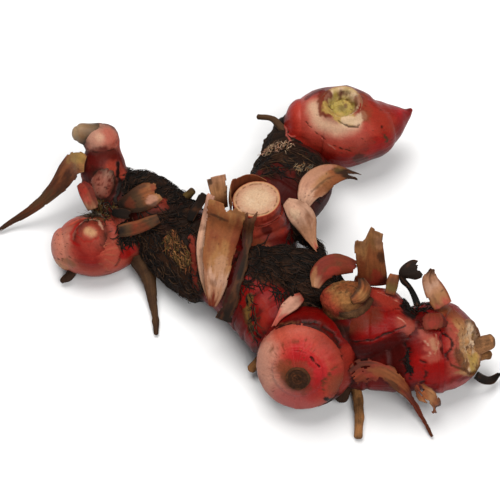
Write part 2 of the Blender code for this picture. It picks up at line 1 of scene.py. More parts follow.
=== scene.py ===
"""The looks of a galangal rhizome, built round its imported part.

The tables are in millimetres: (x, y, z, radius) for a lobe or a root and (x, y, z, half width)
for a dry scale. The point ORIGIN of the tables is the middle of the part's footprint. The marks
on the skin are given by pixels of the photo, which the camera's rays bring onto the lobes.
"""

import math

import bpy
import numpy as np
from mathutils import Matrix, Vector
from mathutils.bvhtree import BVHTree


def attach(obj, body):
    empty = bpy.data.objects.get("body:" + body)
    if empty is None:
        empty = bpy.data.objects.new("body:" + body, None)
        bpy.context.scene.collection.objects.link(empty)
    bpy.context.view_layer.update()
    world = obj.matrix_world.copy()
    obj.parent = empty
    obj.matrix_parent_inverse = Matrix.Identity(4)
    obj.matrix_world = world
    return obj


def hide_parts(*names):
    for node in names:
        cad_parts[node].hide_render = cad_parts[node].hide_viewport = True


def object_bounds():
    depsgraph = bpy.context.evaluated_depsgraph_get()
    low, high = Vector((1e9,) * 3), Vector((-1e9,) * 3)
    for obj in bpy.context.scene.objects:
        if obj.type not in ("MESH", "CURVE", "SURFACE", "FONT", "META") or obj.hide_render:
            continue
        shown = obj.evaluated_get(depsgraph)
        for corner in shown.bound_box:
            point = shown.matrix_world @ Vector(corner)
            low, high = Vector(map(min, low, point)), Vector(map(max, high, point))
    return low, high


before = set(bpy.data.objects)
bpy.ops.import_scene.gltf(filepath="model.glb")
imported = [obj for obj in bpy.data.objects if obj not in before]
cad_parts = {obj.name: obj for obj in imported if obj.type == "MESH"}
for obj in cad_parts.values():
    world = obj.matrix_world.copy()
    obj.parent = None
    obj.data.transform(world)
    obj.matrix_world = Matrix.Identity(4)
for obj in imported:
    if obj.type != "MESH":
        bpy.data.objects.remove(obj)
cad_box = [list(corner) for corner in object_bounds()]

MM = 0.001
ORIGIN = (-4.5, 0.6)
SHIFT = np.array((-ORIGIN[0], -ORIGIN[1], 0.0))
BOX_LOW, BOX_HIGH = np.array(cad_box) / MM - SHIFT  # no piece reaches past the part's box

# Lobes and roots
SKIN_SPACING = 0.45  # mm between points
ROOT_SPACING = 0.45
CURVE_POINTS = 16  # between two given points of a path
LEAST_RADIUS = 0.3
DOMES = {"round": 0.62, "low": 0.2, "cut": 0}  # height of an end's dome, in radii
LEAST_RING = 0.02  # the ring that closes a dome
FAR = 99.0  # stands for any distance that makes no difference
HIDDEN_DEPTH = 1.4  # a face this far inside another lobe is left out
FILLET = 2.6  # mm over which two lobes run into each other
JOIN_SHADE, JOIN_REACH = 0.6, 4.2  # how much darker the painted shade makes the skin at a join, and how far
LOBE_REACH = 4  # mm beyond its radius within which a lobe counts as near
UNDERSIDE_SHADE = 0.58  # how much darker the painted shade makes the skin where it faces down

# Marks
MARK_STEP = 1.0  # mm between the points of a mark's line
MARK_REACH = 4.5  # a point of a mark further than this from a piece isn't on it

# Dry scales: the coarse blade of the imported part, then the fine one over it
BLADE_COLUMNS = 6
BLADE_STEP = 4.2
BLADE_CLEARANCE = 0.75
BLADE_THICKNESS = 0.7
BASE_HOLD = 0.3
LIFT_STEP = 0.2
LIFT_TRIES = 60
BLADE_SEED = 11
BLADE_SPACING = 0.5
BLADE_EDGE, BLADE_MIDDLE = 0.25, 0.5  # thickness at the edges and along the middle
LEAST_HEIGHT = 0.02  # of a scale's points over the surface it all lies on
TOWARDS_VIEWER = (0.0, -0.53, 0.85)

# Materials
ROUGH_SPREAD = 0.22  # between the smoothest and the roughest grain of one material
COAT_ROUGHNESS = 0.22
LIGHT_REACH = (1.0, 0.45, 0.3)  # how far red, green and blue light goes in flesh, by shares

# Fibres
FIBRE_SEED = 23
FIBRE_STEPS = 7  # rows along a strip
FIBRE_TIP = 0.04  # half width at the end
FIBRE_RIDGE = 0.25  # the most that a strip's middle stands over its edges
FIBRE_ROUGHNESS = 0.6
FIBRE_HEIGHT = 0.05  # the lowest that a strip lies

# The camera, in mm in the tables' frame, and the photo's size in pixels
CAMERA_LENS, CAMERA_SENSOR = 108, 36
CAMERA_HEIGHT, CAMERA_DISTANCE = math.radians(58), 600
CAMERA_TARGET = np.array((0, 0, 18))
CAMERA_BACK = np.array((0, -math.cos(CAMERA_HEIGHT), math.sin(CAMERA_HEIGHT)))
CAMERA_RIGHT = np.array((1, 0, 0))
CAMERA_UP = np.array((0, math.sin(CAMERA_HEIGHT), math.cos(CAMERA_HEIGHT)))
CAMERA_PLACE = CAMERA_TARGET + CAMERA_DISTANCE * CAMERA_BACK
PHOTO_SIZE = 500

# The studio, in metres
FLOOR_HALF = 8
FLOOR_TINT, FLOOR_ROUGHNESS = (0.74, 0.77, 0.82, 1), 0.8
WORLD_LIGHT = 0.17
WORLD_COLOUR = (1, 0.98, 0.96, 1)
LAMP_COLOUR = (1, 0.95, 0.88)
LAMP_GAIN = 1.4  # how much brighter than its paint a surface looks under the lamps
TOP_PLACE, TOP_SIZE, TOP_POWER = (-0.1, 0.2, 0.9), 0.6, 9.2
FRONT_PLACE, FRONT_SPREAD, FRONT_POWER = (0.3, -0.5, 0.8), math.radians(35), 2.0

# The front bulb and its stub: (height along the axis, radius) from the centre
BULB_AXIS = (-0.18, -0.735, 0.65)
BULB_CENTRE = (22.5, -47.1, 16.7)
BULB_PROFILE = [(-17.0, 8.0), (-12.5, 13.8), (-5.5, 17.6), (1.0, 18.8), (5.5, 18.6), (8.5, 17.2),
                (10.8, 14.0)]
PLATEAU_CENTRE = (20.6, -47.8, 15.9)
PLATEAU_PROFILE = [(0.0, 14.5), (6.0, 16.4), (9.6, 16.8), (11.6, 15.9), (13.4, 13.4), (15.0, 9.5)]
STUB_CENTRE = (21.0, -48.8, 14.8)
STUB_PROFILE = [(9.0, 5.6), (15.0, 5.0), (18.3, 4.4)]


def turned(centre, axis, profile):
    """The path of a body that is round about an axis."""
    axis = np.array(axis) / np.linalg.norm(axis)
    return [(*(np.array(centre) + height * axis), radius) for height, radius in profile]


# name: path, ends, ring scars (distances along the path), depth of the last end's dish
LOBES = {
    "trunk": dict(
        path=[(-52, 19.5, 16, 8), (-42.5, 14.5, 17, 11), (-32.5, 9, 17, 13), (-22, 1.5, 17.5, 15),
              (-12, -6.5, 18, 15.5), (-2, -16.5, 18, 15.1), (5.5, -25, 18, 15.5),
              (12.5, -36, 17.5, 14), (18, -43, 16.5, 12)],
        scars=[46, 58, 68, 74.5, 81, 87.5, 94]),
    "front_bulb": dict(
        path=turned(BULB_CENTRE, BULB_AXIS, BULB_PROFILE), ends=("round", "low")),
    "front_plateau": dict(
        path=turned(PLATEAU_CENTRE, BULB_AXIS, PLATEAU_PROFILE), ends=("round", "low")),
    "front_stub": dict(
        path=turned(STUB_CENTRE, BULB_AXIS, STUB_PROFILE), ends=("round", "cut")),
    "mid_lobe": dict(
        path=[(30, -38.5, 17.5, 8.5), (36.5, -37.5, 20.5, 13), (43, -38, 23.3, 14.2),
              (49.5, -39, 25, 12.8), (54.5, -40.5, 27, 10.2), (58, -41.7, 28.8, 7.6),
              (61, -42.3, 30.2, 5), (63, -42.5, 31, 3)],
        scars=[13]),
    "mid_upper": dict(
        path=[(36.5, -37.5, 26.5, 10.5), (45, -34.5, 28, 9.8), (53, -32.5, 28, 7.5),
              (58, -33, 28, 4)]),
    "mid_stub": dict(
        path=[(37, -36, 28, 7.5), (36.6, -34, 31.5, 8.7), (36.1, -32, 34.4, 9.5)],
        ends=("round", "round")),
    "mid_rim": dict(
        path=[(32.8, -37, 36.6, 1), (34, -39, 37.2, 1.3), (36.3, -40.2, 37.4, 1.4),
              (39.6, -40, 37.6, 1.4), (43, -37.8, 37.7, 1.3), (45.2, -34.2, 37.4, 1)]),
    "right_lobe": dict(
        path=[(29, -45, 11, 8), (37, -46.5, 12, 10.5), (47, -47, 13.5, 12),
              (57, -47, 15.5, 13.4), (62.5, -45.5, 17, 16), (68.5, -44, 17, 17.5),
              (74, -43.5, 17.2, 17.6), (78.5, -44.6, 18.6, 15.8), (81.5, -45.6, 20.4, 13),
              (83.7, -46.3, 21.8, 10.8)],
        scars=[16, 27], ends=("round", "cut")),
    "upper_arm": dict(
        path=[(-4, -8, 17, 13), (3, 5.5, 17, 13.5), (10.5, 21, 16.5, 15), (17, 33, 16.3, 16.7),
              (18.5, 38.5, 16, 16)],
        scars=[27, 36]),
    "upper_neck": dict(
        path=[(14, 36, 15, 13), (15.5, 44, 14, 12), (16.5, 52, 13, 10.8), (20, 60, 15, 10)],
        scars=[9]),
    "upper_bulb": dict(
        path=[(21, 60.5, 21, 10.5), (25, 60.5, 21, 13.2), (31.5, 60.5, 21, 15.6),
              (40, 59, 21, 17.4), (51, 59, 21, 13.4), (57, 61, 21, 9.6),
              (62, 63.5, 21, 5.8), (65.5, 65.5, 21, 2.8), (68, 68, 21, 1)]),
    "upper_rim": dict(
        path=[(38.5, 60.5, 27, 9), (37.6, 59.6, 36.4, 8.2)], ends=("round", "cut"), dish=4.6),
    "disc_stem": dict(
        path=[(6, 0, 20, 12.5), (5, 3.5, 27, 11), (3, 7.5, 34.5, 9.7), (2.5, 8.5, 42, 9.3)],
        scars=[10, 17], ends=("round", "cut")),
    "left_shoot": dict(
        path=[(-48.5, 17, 18, 8), (-56.5, 24, 21, 10), (-59, 30, 26, 9.8), (-59.3, 34, 31, 8.6),
              (-59.3, 36.8, 35.5, 7), (-59.6, 38.4, 38.5, 7.2), (-59.5, 39.2, 41, 6.8)],
        scars=[20]),
    "shoot_knob": dict(
        path=[(-61, 40, 42, 3.5), (-65, 40, 42, 4), (-68, 40, 42, 4), (-69.5, 40, 42, 3)]),
    "left_bulb": dict(
        path=[(-45, 15.5, 15, 9), (-52.5, 9.5, 13.5, 11.5), (-60.5, 6.5, 12.2, 12.8),
              (-67.5, 5.5, 12.2, 12.2), (-72.3, 4.5, 12.4, 10.6), (-74.8, 4, 12.4, 8.8)],
        scars=[10]),
    "left_stub": dict(
        path=[(-63, 4, 18, 9), (-63.2, 3.6, 22.6, 7), (-63.3, 3.2, 25.4, 4.4),
              (-63.3, 3, 26.8, 2.8)],
        ends=("round", "cut")),
    "pink_bud": dict(
        path=[(-57.5, 30, 32, 3), (-58.5, 25.5, 31.5, 4.4), (-59, 22, 28, 4.4),
              (-59.5, 19.5, 24, 2.5)]),
    "side_bud": dict(
        path=[(-44.5, 15.5, 20, 8), (-39.5, 13.5, 24, 8), (-36, 12.5, 27, 6),
              (-34.5, 11.5, 28, 3)]),
    "back_mat": dict(
        path=[(-53, 26.5, 21, 8.5), (-46, 25, 23, 8.5), (-40, 22.5, 24, 8.5),
              (-34, 18.5, 21, 8.5), (-26.5, 12.5, 19, 9.5)]),
    "neck_mat": dict(
        path=[(-39, 4.5, 14, 7), (-32.5, -2, 13.5, 8.2), (-26.5, -7.5, 13.5, 8.5),
              (-19.5, -13.5, 14, 8)]),
    "crown_mat": dict(
        path=[(2, -11, 23, 9), (13.5, -14.5, 24, 11), (21.5, -17.5, 24, 10.5),
              (29, -23.5, 24, 9.5)]),
    "crown_loop": dict(
        path=[(15.5, 9, 22, 3), (21, 2, 25, 2.6), (26, -4, 27, 2.2), (28.5, -9.5, 26, 2),
              (27, -16, 24, 2.6)]),
}

ROOTS = {
    "root_neck": [(-46, 6, 11, 5), (-43, -1, 8.5, 4.4), (-41, -6.5, 7, 3), (-39.5, -14, 4, 2.1),
                  (-38, -22, 2.6, 1.5), (-37.5, -29, 1.6, 1)],
    "root_back": [(-30, 17, 20, 3), (-27, 19.3, 25, 1.7), (-23.2, 21, 29, 1.5)],
    "root_upper": [(22, 52, 20, 3), (14, 57, 22, 1.8), (9, 61.5, 23.5, 1.4), (3.5, 62, 24, 1.2)],
    "root_front": [(11, -38, 11, 3), (6, -42, 8, 2.1), (0.5, -46.5, 5, 1.9)],
    "root_long": [(39, -47, 8, 3), (40.5, -53, 5, 2.2), (42, -59.5, 3, 2), (42, -66.5, 2.5, 1.9),
                  (41.5, -74, 2, 1.6)],
    "root_stub": [(36, -47, 8, 4), (36.5, -54, 6, 3.2), (35.5, -59, 4.5, 2.6)],
    "root_left": [(-67, 6, 8, 4), (-71, 0, 6, 2.2), (-73.5, -3.5, 4, 2), (-76.5, -5.5, 3, 1.1)],
    "root_end_high": [(76, -43, 13, 4), (86, -42.3, 15, 3.4), (93, -40.8, 16.8, 2.9)],
    "root_end_low": [(76, -43, 9.5, 4), (87, -42.9, 9.6, 2.4), (93.5, -42.4, 8.6, 1.8)],
}

# Paints, in sRGB
PAINTS = {
    "scarlet": (172, 22, 18), "crimson": (154, 16, 14), "deep": (110, 8, 6), "wine": (82, 14, 11),
    "maroon": (58, 7, 5), "pink": (188, 92, 80), "magenta": (188, 30, 42), "rose": (170, 80, 78),
    "pale": (196, 144, 124), "cream": (214, 184, 154), "ivory": (226, 204, 178),
    "flesh": (192, 148, 108), "yellow": (178, 148, 78), "lime": (158, 142, 66),
    "olive": (92, 72, 34), "salmon": (178, 70, 52), "coral": (192, 84, 66),
    "ochre": (160, 112, 60), "tan": (160, 112, 74), "straw": (178, 132, 88), "brown": (98, 56, 32),
    "chestnut": (82, 42, 22), "umber": (54, 32, 19), "dark": (30, 19, 13), "fawn": (178, 128, 98),
    "sienna": (134, 76, 42), "russet": (112, 44, 24), "plum": (122, 44, 32),
    "blush": (196, 152, 128), "oak": (152, 104, 62), "brick": (150, 46, 34), "blood": (126, 10, 8),
    "rosy": (168, 78, 64), "black": (13, 9, 7), "grey": (112, 102, 88), "putty": (166, 138, 106),
    "rust": (126, 64, 38), "bark": (74, 50, 30),
}


def paint(name):
    """A paint's linear colour, dimmed by as much as the lamps brighten it."""
    c = np.array(PAINTS[name]) / 255
    return np.where(c <= 0.04045, c / 12.92, ((c + 0.055) / 1.055) ** 2.4) / LAMP_GAIN


def unit(vectors):
    """Vectors of length 1, along the last axis."""
    return vectors / np.maximum(np.linalg.norm(vectors, axis=-1, keepdims=True), 1e-9)


def ease(x):
    """A soft step from 0 to 1."""
    x = np.clip(x, 0, 1)
    return x * x * (3 - 2 * x)


def bell(x, width):
    """A bump of height 1 round x = 0."""
    return np.exp(-(x / width) ** 2)


def spline(a, b, c, d, t):
    """The Catmull-Rom curve from b to c, where a comes before them and d after."""
    return 0.5 * (2 * b + (c - a) * t + (2 * a - 5 * b + 4 * c - d) * t * t
                  + (3 * b - a - 3 * c + d) * t**3)


def run_lengths(points):
    """How far along a line of points each of them is."""
    return np.concatenate([[0], np.cumsum(np.linalg.norm(np.diff(points, axis=0), axis=1))])


def smooth_rows(points, at):
    """Rows of a curve through the points, `at` shares of its length, and that length."""
    points = np.array(points, float)
    ends = np.vstack([2 * points[0] - points[1], points, 2 * points[-1] - points[-2]])
    fine = []
    for k in range(len(points) - 1):
        a, b, c, d = ends[k:k + 4]
        fine += [spline(a, b, c, d, t) for t in np.linspace(0, 1, CURVE_POINTS, endpoint=False)]
    fine = np.array(fine + [points[-1]])
    fine[:, 3] = np.maximum(fine[:, 3], LEAST_RADIUS)
    run = run_lengths(fine[:, :3])
    wanted = np.asarray(at) * run[-1]
    return np.stack([np.interp(wanted, run, fine[:, i]) for i in range(4)], axis=-1), run[-1]


def carried_frames(centres):
    """Two directions across a path at each row, carried along it without twisting."""
    tangents = unit(np.gradient(centres, axis=0))
    side = np.cross(tangents[0], (0, 0, 1) if abs(tangents[0][2]) < 0.9 else (1, 0, 0))
    sides = []
    for tangent in tangents:
        side = unit(side - tangent * side.dot(tangent))
        sides.append(side)
    sides = np.array(sides)
    return tangents, sides, np.cross(tangents, sides)


def lattice(ix, iy, iz, seed):
    """A value from -1 to 1 for each corner of a lattice, by a hash of its place."""
    h = (ix.astype(np.int64) * 73856093) ^ (iy.astype(np.int64) * 19349663)
    h = (h ^ (iz.astype(np.int64) * 83492791) ^ (seed * 40503)) & 0xFFFFFFFF
    h = ((h ^ (h >> 13)) * 1274126177) & 0xFFFFFFFF
    return ((h ^ (h >> 16)) & 0xFFFF) / 32767.5 - 1


def noise(p, size, seed=0):
    """Smooth noise from -1 to 1 at points p, with features of about `size`."""
    i = np.floor(p / size)
    f = ease(p / size - i)
    total = 0
    for a in (0, 1):
        for b in (0, 1):
            for c in (0, 1):
                share = (np.abs(1 - a - f[..., 0]) * np.abs(1 - b - f[..., 1])
                         * np.abs(1 - c - f[..., 2]))
                total = total + share * lattice(i[..., 0] + a, i[..., 1] + b, i[..., 2] + c, seed)
    return total


def fbm(p, size, octaves=3, seed=0):
    """Noise of several sizes, each half the one before."""
    total, weight = 0, 0
    for k in range(octaves):
        total = total + noise(p, size / 2**k, seed + 17 * k) / 2**k
        weight += 1 / 2**k
    return 1.5 * total / weight


class Samples:
    """A lobe as a row of centres and radii, for the distance from its skin."""

    def __init__(self, path, ends=("round", "round"), scars=(), dish=0):
        length = smooth_rows(path, [0])[1]
        rows = smooth_rows(path, np.linspace(0, 1, max(3, round(length)) + 1))[0]
        self.centres, self.radii = rows[:, :3], rows[:, 3]
        self.tangents = carried_frames(self.centres)[0]
        self.domes = [DOMES[end] for end in ends]
        reach = self.radii[:, None] + LOBE_REACH
        self.low = (self.centres - reach).min(0)
        self.high = (self.centres + reach).max(0)

    def distance(self, points):
        """Distance of each point from the lobe's skin, negative inside; FAR if it isn't near."""
        out = np.full(len(points), FAR)
        close = np.nonzero(((points > self.low) & (points < self.high)).all(axis=1))[0]
        for part in np.array_split(close, max(1, len(close) // 20000)):
            if not len(part):
                continue
            offsets = points[part, None] - self.centres[None]
            squared = (offsets**2).sum(-1)
            k = squared.argmin(axis=1)
            offset = offsets[np.arange(len(part)), k]
            along = (offset * self.tangents[k]).sum(-1)
            across = np.sqrt(np.maximum((offset**2).sum(-1) - along**2, 0))
            radius = self.radii[k]
            value = across - radius
            for index, sign, dome in zip((0, len(self.radii) - 1), (-1, 1), self.domes):
                at_end = (k == index) & (along * sign > 0)
                if dome:
                    capped = np.sqrt(across**2 + (along / dome)**2) - radius
                else:
                    capped = np.maximum(across - radius, along * sign)
                value = np.where(at_end, capped, value)
            out[part] = value
        return out


def loft(path, spacing, ends=("round", "round"), scars=(), dish=0):
    """A grid of points round a lobe: (points, distance along, angle) by row and side."""
    length = smooth_rows(path, [0])[1]
    at = np.linspace(0, length, max(4, round(length / spacing)) + 1)
    rows = smooth_rows(path, at / length)[0]
    centres, radii = rows[:, :3], rows[:, 3]
    tangents, sideways, upward = carried_frames(centres)
    sides = max(10, round(2 * math.pi * radii.max() / spacing))
    rings = [(centres[k], radii[k], k, at[k]) for k in range(len(at))]
    for index, sign, end in ((0, -1, ends[0]), (len(at) - 1, 1, ends[1])):
        radius, dome = radii[index], DOMES[end]
        count = max(3, round(radius * (1 + 0.4 * dome) / spacing))
        cap = []
        for j in range(1, count + 1):
            if dome:
                angle = 0.5 * math.pi * j / count
                lift, small = dome * radius * math.sin(angle), radius * math.cos(angle)
            else:
                small = radius * (1 - j / count)
                lift = -dish * ease((1 - small / radius) * 2.4 - 0.2) if sign > 0 else 0
            cap.append((centres[index] + sign * lift * tangents[index], max(small, LEAST_RING),
                        index, at[index] + sign * (radius - small)))
        rings = cap[::-1] + rings if sign < 0 else rings + cap
    around = 2 * math.pi * np.arange(sides) / sides
    index = np.array([ring[2] for ring in rings])
    circle = (np.cos(around)[None, :, None] * sideways[index][:, None]
              + np.sin(around)[None, :, None] * upward[index][:, None])
    points = (np.array([ring[0] for ring in rings])[:, None]
              + np.array([ring[1] for ring in rings])[:, None, None] * circle)
    along = np.repeat(np.array([ring[3] for ring in rings])[:, None], sides, 1)
    return points, along, np.repeat(around[None], len(rings), 0)


def tube_faces(rows, sides):
    """The faces of a grid that closes round its second direction."""
    index = np.arange(rows * sides).reshape(rows, sides)
    right = np.roll(index, -1, 1)
    return np.stack([index[:-1], right[:-1], right[1:], index[1:]], -1).reshape(-1, 4)


def outward_faces(points, normals, rows, sides):
    """The faces of such a grid, turned the way of its normals."""
    faces = tube_faces(rows, sides)
    a, b, c, d = (points[faces[:, k]] for k in range(4))
    if (np.cross(c - a, d - b) * normals[faces[:, 0]]).sum() < 0:
        faces = faces[:, ::-1]
    return faces


def grid_normals(points):
    """Outward normals of such a grid."""
    down = np.gradient(points, axis=0)
    across = np.roll(points, -1, 1) - np.roll(points, 1, 1)
    normals = np.cross(down, across)
    normals[0], normals[-1] = normals[1], normals[-2]
    normals = unit(normals)
    middle = points.mean(axis=1, keepdims=True)
    half = len(points) // 2
    if (normals[half] * (points[half] - middle[half])).sum() < 0:
        normals = -normals
    return normals


def path_distance(points, path):
    """Distance of each point from a line through the path's points."""
    path = np.array(path, float).reshape(-1, 3)
    if len(path) == 1:
        return np.linalg.norm(points - path[0], axis=1)
    best = np.full(len(points), 1e9)
    for a, b in zip(path, path[1:]):
        along = b - a
        t = np.clip(((points - a) @ along) / max(along @ along, 1e-9), 0, 1)
        best = np.minimum(best, np.linalg.norm(points - a - t[:, None] * along, axis=1))
    return best


class Surface:
    """Points of a piece with the colour, roughness and height that marks change."""

    def __init__(self, points, normals, colour, rough=0.4):
        self.p, self.n = points, normals
        self.c = np.repeat(paint(colour)[None], len(points), 0)
        self.r = np.full(len(points), float(rough))
        self.h = np.zeros(len(points))

    @classmethod
    def of_lobe(cls, shape, spacing, colour, rough):
        """The surface of a lofted lobe, the distance along it, the angle round it, its faces."""
        grid, along, around = loft(spacing=spacing, **shape)
        surface = cls(grid.reshape(-1, 3), grid_normals(grid).reshape(-1, 3), colour, rough)
        faces = outward_faces(surface.p, surface.n, *grid.shape[:2])
        return surface, along.ravel(), around.ravel(), faces

    def on_skin(self, at):
        """A mark's line in short steps on this piece; what lies far from the piece is left out."""
        if not len(at):
            return at
        at = np.array(at, float)
        if len(at) > 1:
            run = run_lengths(at)
            steps = np.linspace(0, run[-1], max(1, round(run[-1] / MARK_STEP)) + 1)
            at = np.stack([np.interp(steps, run, at[:, i]) for i in range(3)], axis=-1)
        gaps = np.array([np.linalg.norm(self.p - point, axis=1) for point in at])
        near = gaps.min(axis=1) < MARK_REACH
        return self.p[gaps.argmin(axis=1)[near]]

    def raised(self):
        """The points at their heights over the surface, none of them below the floor."""
        points = self.p + self.n * self.h[:, None]
        points[:, 2] = np.maximum(points[:, 2], 0)
        return points

    def shade(self, factor):
        """Makes the paint lighter or darker."""
        self.c *= factor[:, None]

    def blend(self, mask, colour, rough=None):
        """Paints over by the share that the mask gives, and blends the roughness with it."""
        self.c += (paint(colour) - self.c) * mask[:, None]
        if rough is not None:
            self.r += (rough - self.r) * mask

    def wavered(self, amount, size, seed):
        """The points moved about a little, for lines that aren't straight."""
        return self.p + amount * np.stack(
            [noise(self.p, size, seed + k) for k in range(3)], axis=-1)

    def crust(self, mask, way):
        """Dead fibre, clotted and pressed flat; its strands run the way given."""
        clots = fbm(self.p, 3.4, 4, 13)
        self.blend(mask * 0.55 * ease(1.8 * clots), "umber", 0.8)
        self.blend(mask * 0.45 * ease(2.4 * fbm(self.p, 6, 3, 53) - 0.6), "bark")
        self.blend(mask * 0.8 * ease(-2.6 * clots - 0.3), "black")
        way = unit(np.array(way, float))
        bent = self.wavered(1.3, 5, 13)
        pressed = bent - 0.86 * (bent @ way)[:, None] * way
        strands = noise(pressed, 0.95, 19) + 0.6 * noise(pressed, 1.9, 20)
        self.shade(1 + 0.45 * mask * strands)
        self.h += mask * (0.55 * clots + 0.2 * strands)

    def zone(self, at, radius, colour, strength, soft=0.5, ragged=0.35, rough=None, way=None):
        """Paints what lies within the radius of a line; dead fibre where it has a way to run."""
        d = path_distance(self.p, at)
        near = d < 2 * radius
        mask = np.zeros(len(d))
        wobble = ragged * radius * fbm(self.p[near], 2.5, 3, 3)
        mask[near] = ease((radius - d[near] + wobble) / (soft * radius) + 0.5)
        self.blend(mask * strength, colour, rough)
        if way is not None:
            self.crust(mask, way)

    def line(self, at, width, colour, strength, depth=0.2, broken=0.0, waver=0.5):
        """A thin crack, or a raised line where its depth is below zero."""
        d = path_distance(self.wavered(waver, 2.2, 5), at)
        size = width * (1 + 0.5 * noise(self.p, 1.6, 14))
        mask = ease((size - d) / (0.6 * width) + 0.5)
        if broken:
            mask = mask * ease((fbm(self.p, 2.4, 2, 9) + 1 - 2 * broken) * 3)
        self.blend(mask * strength, colour)
        self.h -= depth * mask

    def specks(self, at, radius, colour, strength, size=0.5, share=0.2):
        """Specks of about the size given, on a share of what lies within the radius."""
        d = path_distance(self.p, at)
        spots = noise(self.p, size, 7) + 0.5 * noise(self.p, 0.5 * size, 8)
        limit = 1.1 - 1.3 * share
        mask = ease((spots - limit) * 5) * ease((radius - d) / (0.4 * radius) + 0.2)
        self.blend(mask * strength, colour)
        self.h += 0.05 * mask


def build_mesh(name, points, faces, colours, rough, material):
    """A mesh object in metres, in the frame, with its tint and roughness as attributes."""
    data = bpy.data.meshes.new(name)
    placed = (np.clip(points, BOX_LOW, BOX_HIGH) + SHIFT) * MM
    data.from_pydata(placed.tolist(), [], np.asarray(faces).tolist())
    data.update()
    tint = data.color_attributes.new("tint", "FLOAT_COLOR", "POINT")
    tint.data.foreach_set("color", np.hstack(
        [np.clip(colours, 0, 1), np.ones((len(colours), 1))]).astype(np.float32).ravel())
    wet = data.attributes.new("rough", "FLOAT", "POINT")
    wet.data.foreach_set("value", np.clip(rough, 0.05, 1).astype(np.float32))
    data.shade_smooth()
    obj = bpy.data.objects.new(name, data)
    bpy.context.scene.collection.objects.link(obj)
    data.materials.append(material)
    return obj


def compact(points, faces, *values):
    """Drops the points that no face uses."""
    used = np.unique(faces)
    new = np.full(len(points), -1)
    new[used] = np.arange(len(used))
    return (points[used], new[faces], *(v[used] for v in values))


def add_node(tree, kind, inputs=(), **settings):
    """A shader node with its sockets' constants and its own settings."""
    node = tree.nodes.new(kind)
    for key, value in settings.items():
        setattr(node, key, value)
    for key, value in dict(inputs).items():
        node.inputs[key].default_value = value
    return node


def living_material(name, variation=0.16, grain=0.7, bump=0.25, fine=0.28, gloss=0.0, flesh=0.0,
                    shine=0.3):
    """Tint with finer colour variation, roughness variation and bump at two sizes (mm)."""
    material = bpy.data.materials.new(name)
    material.use_nodes = True
    tree = material.node_tree
    shader = tree.nodes["Principled BSDF"]
    link = tree.links.new
    tint = add_node(tree, "ShaderNodeAttribute", attribute_name="tint")
    wet = add_node(tree, "ShaderNodeAttribute", attribute_name="rough")
    coords = add_node(tree, "ShaderNodeTexCoord")
    broad = add_node(tree, "ShaderNodeTexNoise",
                     {"Scale": 1 / (grain * MM), "Detail": 4.0, "Roughness": 0.6})
    tiny = add_node(tree, "ShaderNodeTexNoise",
                    {"Scale": 1 / (fine * MM), "Detail": 3.0, "Roughness": 0.6})
    for texture in (broad, tiny):
        link(coords.outputs["Object"], texture.inputs["Vector"])
    spread = add_node(tree, "ShaderNodeMapRange",
                      {"From Min": 0.25, "From Max": 0.75, "To Min": 1 - variation,
                       "To Max": 1 + variation})
    link(broad.outputs["Fac"], spread.inputs["Value"])
    scaled = add_node(tree, "ShaderNodeVectorMath", operation="SCALE")
    link(tint.outputs["Color"], scaled.inputs[0])
    link(spread.outputs["Result"], scaled.inputs["Scale"])
    link(scaled.outputs["Vector"], shader.inputs["Base Color"])
    uneven = add_node(tree, "ShaderNodeMath", {1: ROUGH_SPREAD}, operation="MULTIPLY_ADD")
    link(tiny.outputs["Fac"], uneven.inputs[0])
    link(wet.outputs["Fac"], uneven.inputs[2])
    lowered = add_node(tree, "ShaderNodeMath", {1: ROUGH_SPREAD / 2}, operation="SUBTRACT")
    link(uneven.outputs["Value"], lowered.inputs[0])
    link(lowered.outputs["Value"], shader.inputs["Roughness"])
    first = add_node(tree, "ShaderNodeBump", {"Strength": bump, "Distance": grain * MM * 0.5})
    second = add_node(tree, "ShaderNodeBump", {"Strength": bump, "Distance": fine * MM * 0.5})
    link(broad.outputs["Fac"], first.inputs["Height"])
    link(tiny.outputs["Fac"], second.inputs["Height"])
    link(first.outputs["Normal"], second.inputs["Normal"])
    link(second.outputs["Normal"], shader.inputs["Normal"])
    shader.inputs["Specular IOR Level"].default_value = shine
    shader.inputs["Coat Weight"].default_value = gloss
    shader.inputs["Coat Roughness"].default_value = COAT_ROUGHNESS
    if flesh:
        shader.inputs["Subsurface Weight"].default_value = flesh
        shader.inputs["Subsurface Radius"].default_value = LIGHT_REACH
        shader.inputs["Subsurface Scale"].default_value = 1.5 * MM
    return material


SKIN = living_material("skin", gloss=0.015, flesh=0.05, shine=0.08)
FLESH = living_material("flesh", variation=0.12, grain=0.6, bump=0.45, fine=0.25, flesh=0.1)
FIBRE = living_material("fibre", variation=0.35, grain=0.5, bump=0.5, fine=0.2, shine=0.16)
BARK = living_material("bark", variation=0.35, grain=1.1, bump=0.8, fine=0.4, shine=0.12)
SCALE = living_material("dry_scale", variation=0.13, grain=0.8, bump=0.35, fine=0.25, shine=0.15)
MATERIALS = {"skin": SKIN, "flesh": FLESH, "fibre": FIBRE, "bark": BARK}

